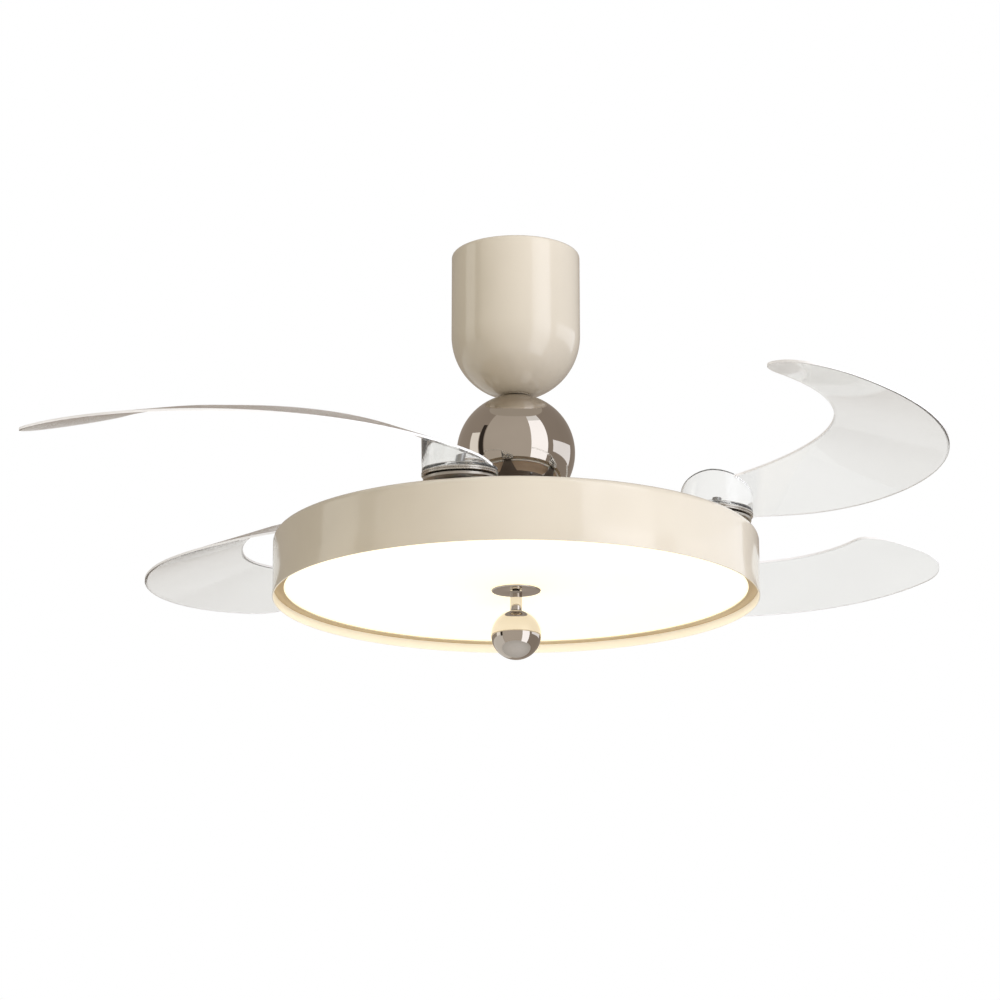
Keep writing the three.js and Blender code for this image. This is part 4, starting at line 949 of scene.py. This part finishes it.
# ---------------------------------------------------------------- diffuser
# A flat disc cut from opal acrylic lies on the housing's ledge. The lamp behind it makes
# it glow evenly, a warm white.
low, high, diffuser_radius = extent("diffuser")
diffuser_hole = 4.4
opal, tree, shader = finish("opal_acrylic", Roughness=0.5, IOR=1.49,
                            Emission_Color=(0.93, 0.82, 0.53, 1), Emission_Strength=0.86)
tree.links.new(two_tone(tree, grain(tree, 0.2, 1), "#FBF8F0", "#FFFDF6"),
               shader.inputs["Base Color"])
shape = turned([(diffuser_hole, low.z), (diffuser_radius, low.z), (diffuser_radius, high.z),
                (diffuser_hole, high.z)], steps=192)
round_edges(shape, 0.4)
settle("diffuser_disc", shape, "frame", "opal", opal, "diffuser")

# ---------------------------------------------------------------- finial
# A turned plate, stem and ball in the same chrome, screwed up into the motor's shaft.
# They clamp the diffuser's middle.
low, high, plate_radius = extent("finial_plate")
plate_hole = 4.1
plate_edge = 0.8
shape = turned([
    (plate_hole, low.z), (plate_radius - plate_edge, low.z), (plate_radius, low.z + plate_edge),
    (plate_radius, high.z), (plate_hole, high.z)], steps=128)
round_edges(shape, 0.25)
settle("finial_plate_piece", shape, "frame", "chrome", chrome, "finial_plate")

shoulder = low.z - 0.3
thread_radius = 3.8
low, high, stem_radius = extent("finial_stem")
shape = turned([
    (0, low.z), (stem_radius, low.z), (stem_radius, shoulder), (thread_radius, shoulder),
    (thread_radius, high.z), (0, high.z)], closed=False, steps=64)
round_edges(shape, 0.3)
settle("finial_stem_piece", shape, "frame", "chrome", chrome, "finial_stem")

low, high, _ = extent("finial_ball")
knob_radius = 25.7
knob_middle = low.z + knob_radius
flat = opening_angle(knob_radius, stem_radius)
shape = turned([*arc(0, knob_middle, knob_radius, -90, flat, 56), (0, high.z)],
               closed=False, steps=128)
settle("finial_ball_piece", shape, "frame", "chrome", chrome, "finial_ball")

# ---------------------------------------------------------------- light and surroundings
# A pale floor below, four soft lights of which the strongest stands right of the viewer,
# and large cards that only glossy and clear surfaces see: warm grey walls with bright windows.
world = bpy.data.worlds.new("studio")
bpy.context.scene.world = world
world.use_nodes = True
tree = world.node_tree
ray = add_node(tree, "ShaderNodeLightPath")
seen = add_node(tree, "ShaderNodeMath", {
    0: ray.outputs["Is Camera Ray"], 1: ray.outputs["Is Glossy Ray"]}, operation="MAXIMUM")
seen = add_node(tree, "ShaderNodeMath", {
    0: seen.outputs[0], 1: ray.outputs["Is Transmission Ray"]}, operation="MAXIMUM")
fill = tree.nodes["Background"]
fill.inputs["Color"].default_value = (0.45, 0.44, 0.42, 1)
fill.inputs["Strength"].default_value = 1.0
white = add_node(tree, "ShaderNodeBackground", {"Color": (1, 1, 1, 1), "Strength": 1.0})
mix = add_node(tree, "ShaderNodeMixShader", {
    0: seen.outputs[0], 1: fill.outputs[0], 2: white.outputs[0]})
tree.links.new(mix.outputs[0], tree.nodes["World Output"].inputs["Surface"])

floor_drop = 3.7
floor_radius = 9
shape = bmesh.new()
bmesh.ops.create_circle(shape, cap_ends=True, segments=64, radius=floor_radius,
                        matrix=Matrix.Translation((0, 0, -floor_drop)))
mesh = bpy.data.meshes.new("floor")
shape.to_mesh(mesh)
shape.free()
floor = bpy.data.objects.new("floor", mesh)
bpy.context.scene.collection.objects.link(floor)
floor_paint, tree, shader = finish("pale_floor", Roughness=0.8,
                                   Emission_Color=linear("#FFFFFF"), Emission_Strength=0.1)
tree.links.new(two_tone(tree, grain(tree, 0.6, 2), "#EDEBE7", "#F3F1EE"),
               shader.inputs["Base Color"])
mesh.materials.append(floor_paint)


def reflected(name, shape, colour, strength, through=False):
    """A glowing panel of a bmesh, seen only in reflections, also through a blade if so said."""
    mesh = bpy.data.meshes.new(name)
    shape.to_mesh(mesh)
    shape.free()
    panel = bpy.data.objects.new(name, mesh)
    bpy.context.scene.collection.objects.link(panel)
    material = bpy.data.materials.new(name)
    material.use_nodes = True
    tree = material.node_tree
    tree.nodes.clear()
    glow = add_node(tree, "ShaderNodeEmission", {
        "Color": linear(colour), "Strength": strength})
    output = add_node(tree, "ShaderNodeOutputMaterial")
    tree.links.new(glow.outputs[0], output.inputs["Surface"])
    mesh.materials.append(material)
    panel.visible_camera = False
    panel.visible_diffuse = False
    panel.visible_transmission = through
    panel.visible_shadow = False
    panel.visible_volume_scatter = False


def card(name, azimuths, heights, distance, colour, strength, through=False):
    """An upright curved card round the fan. Azimuth 0 is the viewer."""
    shape = bmesh.new()
    bmesh.ops.create_grid(shape, x_segments=24, y_segments=1, size=1)
    for vert in shape.verts:
        angle = math.radians(azimuths[0] + (azimuths[1] - azimuths[0]) * (vert.co.x + 1) / 2)
        height = heights[0] + (heights[1] - heights[0]) * (vert.co.y + 1) / 2
        vert.co = (distance * math.sin(angle), -distance * math.cos(angle), height)
    reflected(name, shape, colour, strength, through)


card("front_wall", (-64, 29.5), (-3.65, 7.0), 4.2, "#C6BDB2", 1.0, through=True)
card("right_window", (29.5, 64), (-3.65, 4.4), 4.0, "#FBFBFF", 1.6, through=True)
card("right_wall", (64, 170), (-3.65, 7.0), 4.3, "#9C9187", 1.0)
card("right_low_window", (76, 130), (-0.3, 1.0), 4.1, "#FBFBFF", 1.2, through=True)
card("left_frame", (-76, -66), (-0.9, 3.2), 4.1, "#3A342F", 1.0, through=True)
card("left_window", (-100, -78), (-0.5, 1.9), 4.0, "#FFFBF4", 1.1, through=True)
card("left_wall", (-170, -64), (-3.65, 7.0), 4.3, "#A3988D", 1.0)
card("back_wall", (170, 190), (-3.65, 7.0), 4.3, "#A89D92", 1.0)
card("left_low_wall", (190, 294), (-3.65, -0.5), 4.2, "#DEDAD4", 1.0)

ceiling_height = 7
ceiling_radius = 4.4
shape = bmesh.new()
bmesh.ops.create_circle(shape, cap_ends=True, segments=64, radius=ceiling_radius,
                        matrix=Matrix.Translation((0, 0, ceiling_height)))
reflected("ceiling", shape, "#B6ADA1", 1.0)


def soft_light(name, azimuth, elevation, distance, size, power, colour):
    """A round lamp that faces the fan's middle. Azimuth 0 is the viewer."""
    data = bpy.data.lights.new(name, "AREA")
    data.shape = "DISK"
    data.size = size
    data.energy = power
    data.color = linear(colour)[:3]
    lamp = bpy.data.objects.new(name, data)
    a, e = math.radians(azimuth), math.radians(elevation)
    middle = Vector((0, 0, -0.25))
    place = middle + distance * Vector((math.sin(a) * math.cos(e), -math.cos(a) * math.cos(e),
                                        math.sin(e)))
    lamp.location = place
    lamp.rotation_euler = (middle - place).to_track_quat("-Z", "Y").to_euler()
    lamp.visible_camera = False
    lamp.visible_glossy = False
    lamp.visible_transmission = False
    bpy.context.scene.collection.objects.link(lamp)


soft_light("key", 50, 12, 3.2, 1.8, 76, "#E3EAFF")
soft_light("fill", -40, 5, 3.6, 2.2, 16, "#FBF5EC")
soft_light("overhead", 10, 70, 3.0, 2.0, 16, "#FFFFFF")
soft_light("low", 15, -40, 3.0, 2.0, 16, "#FFF6EA")

bpy.context.scene.view_settings.view_transform = "Standard"
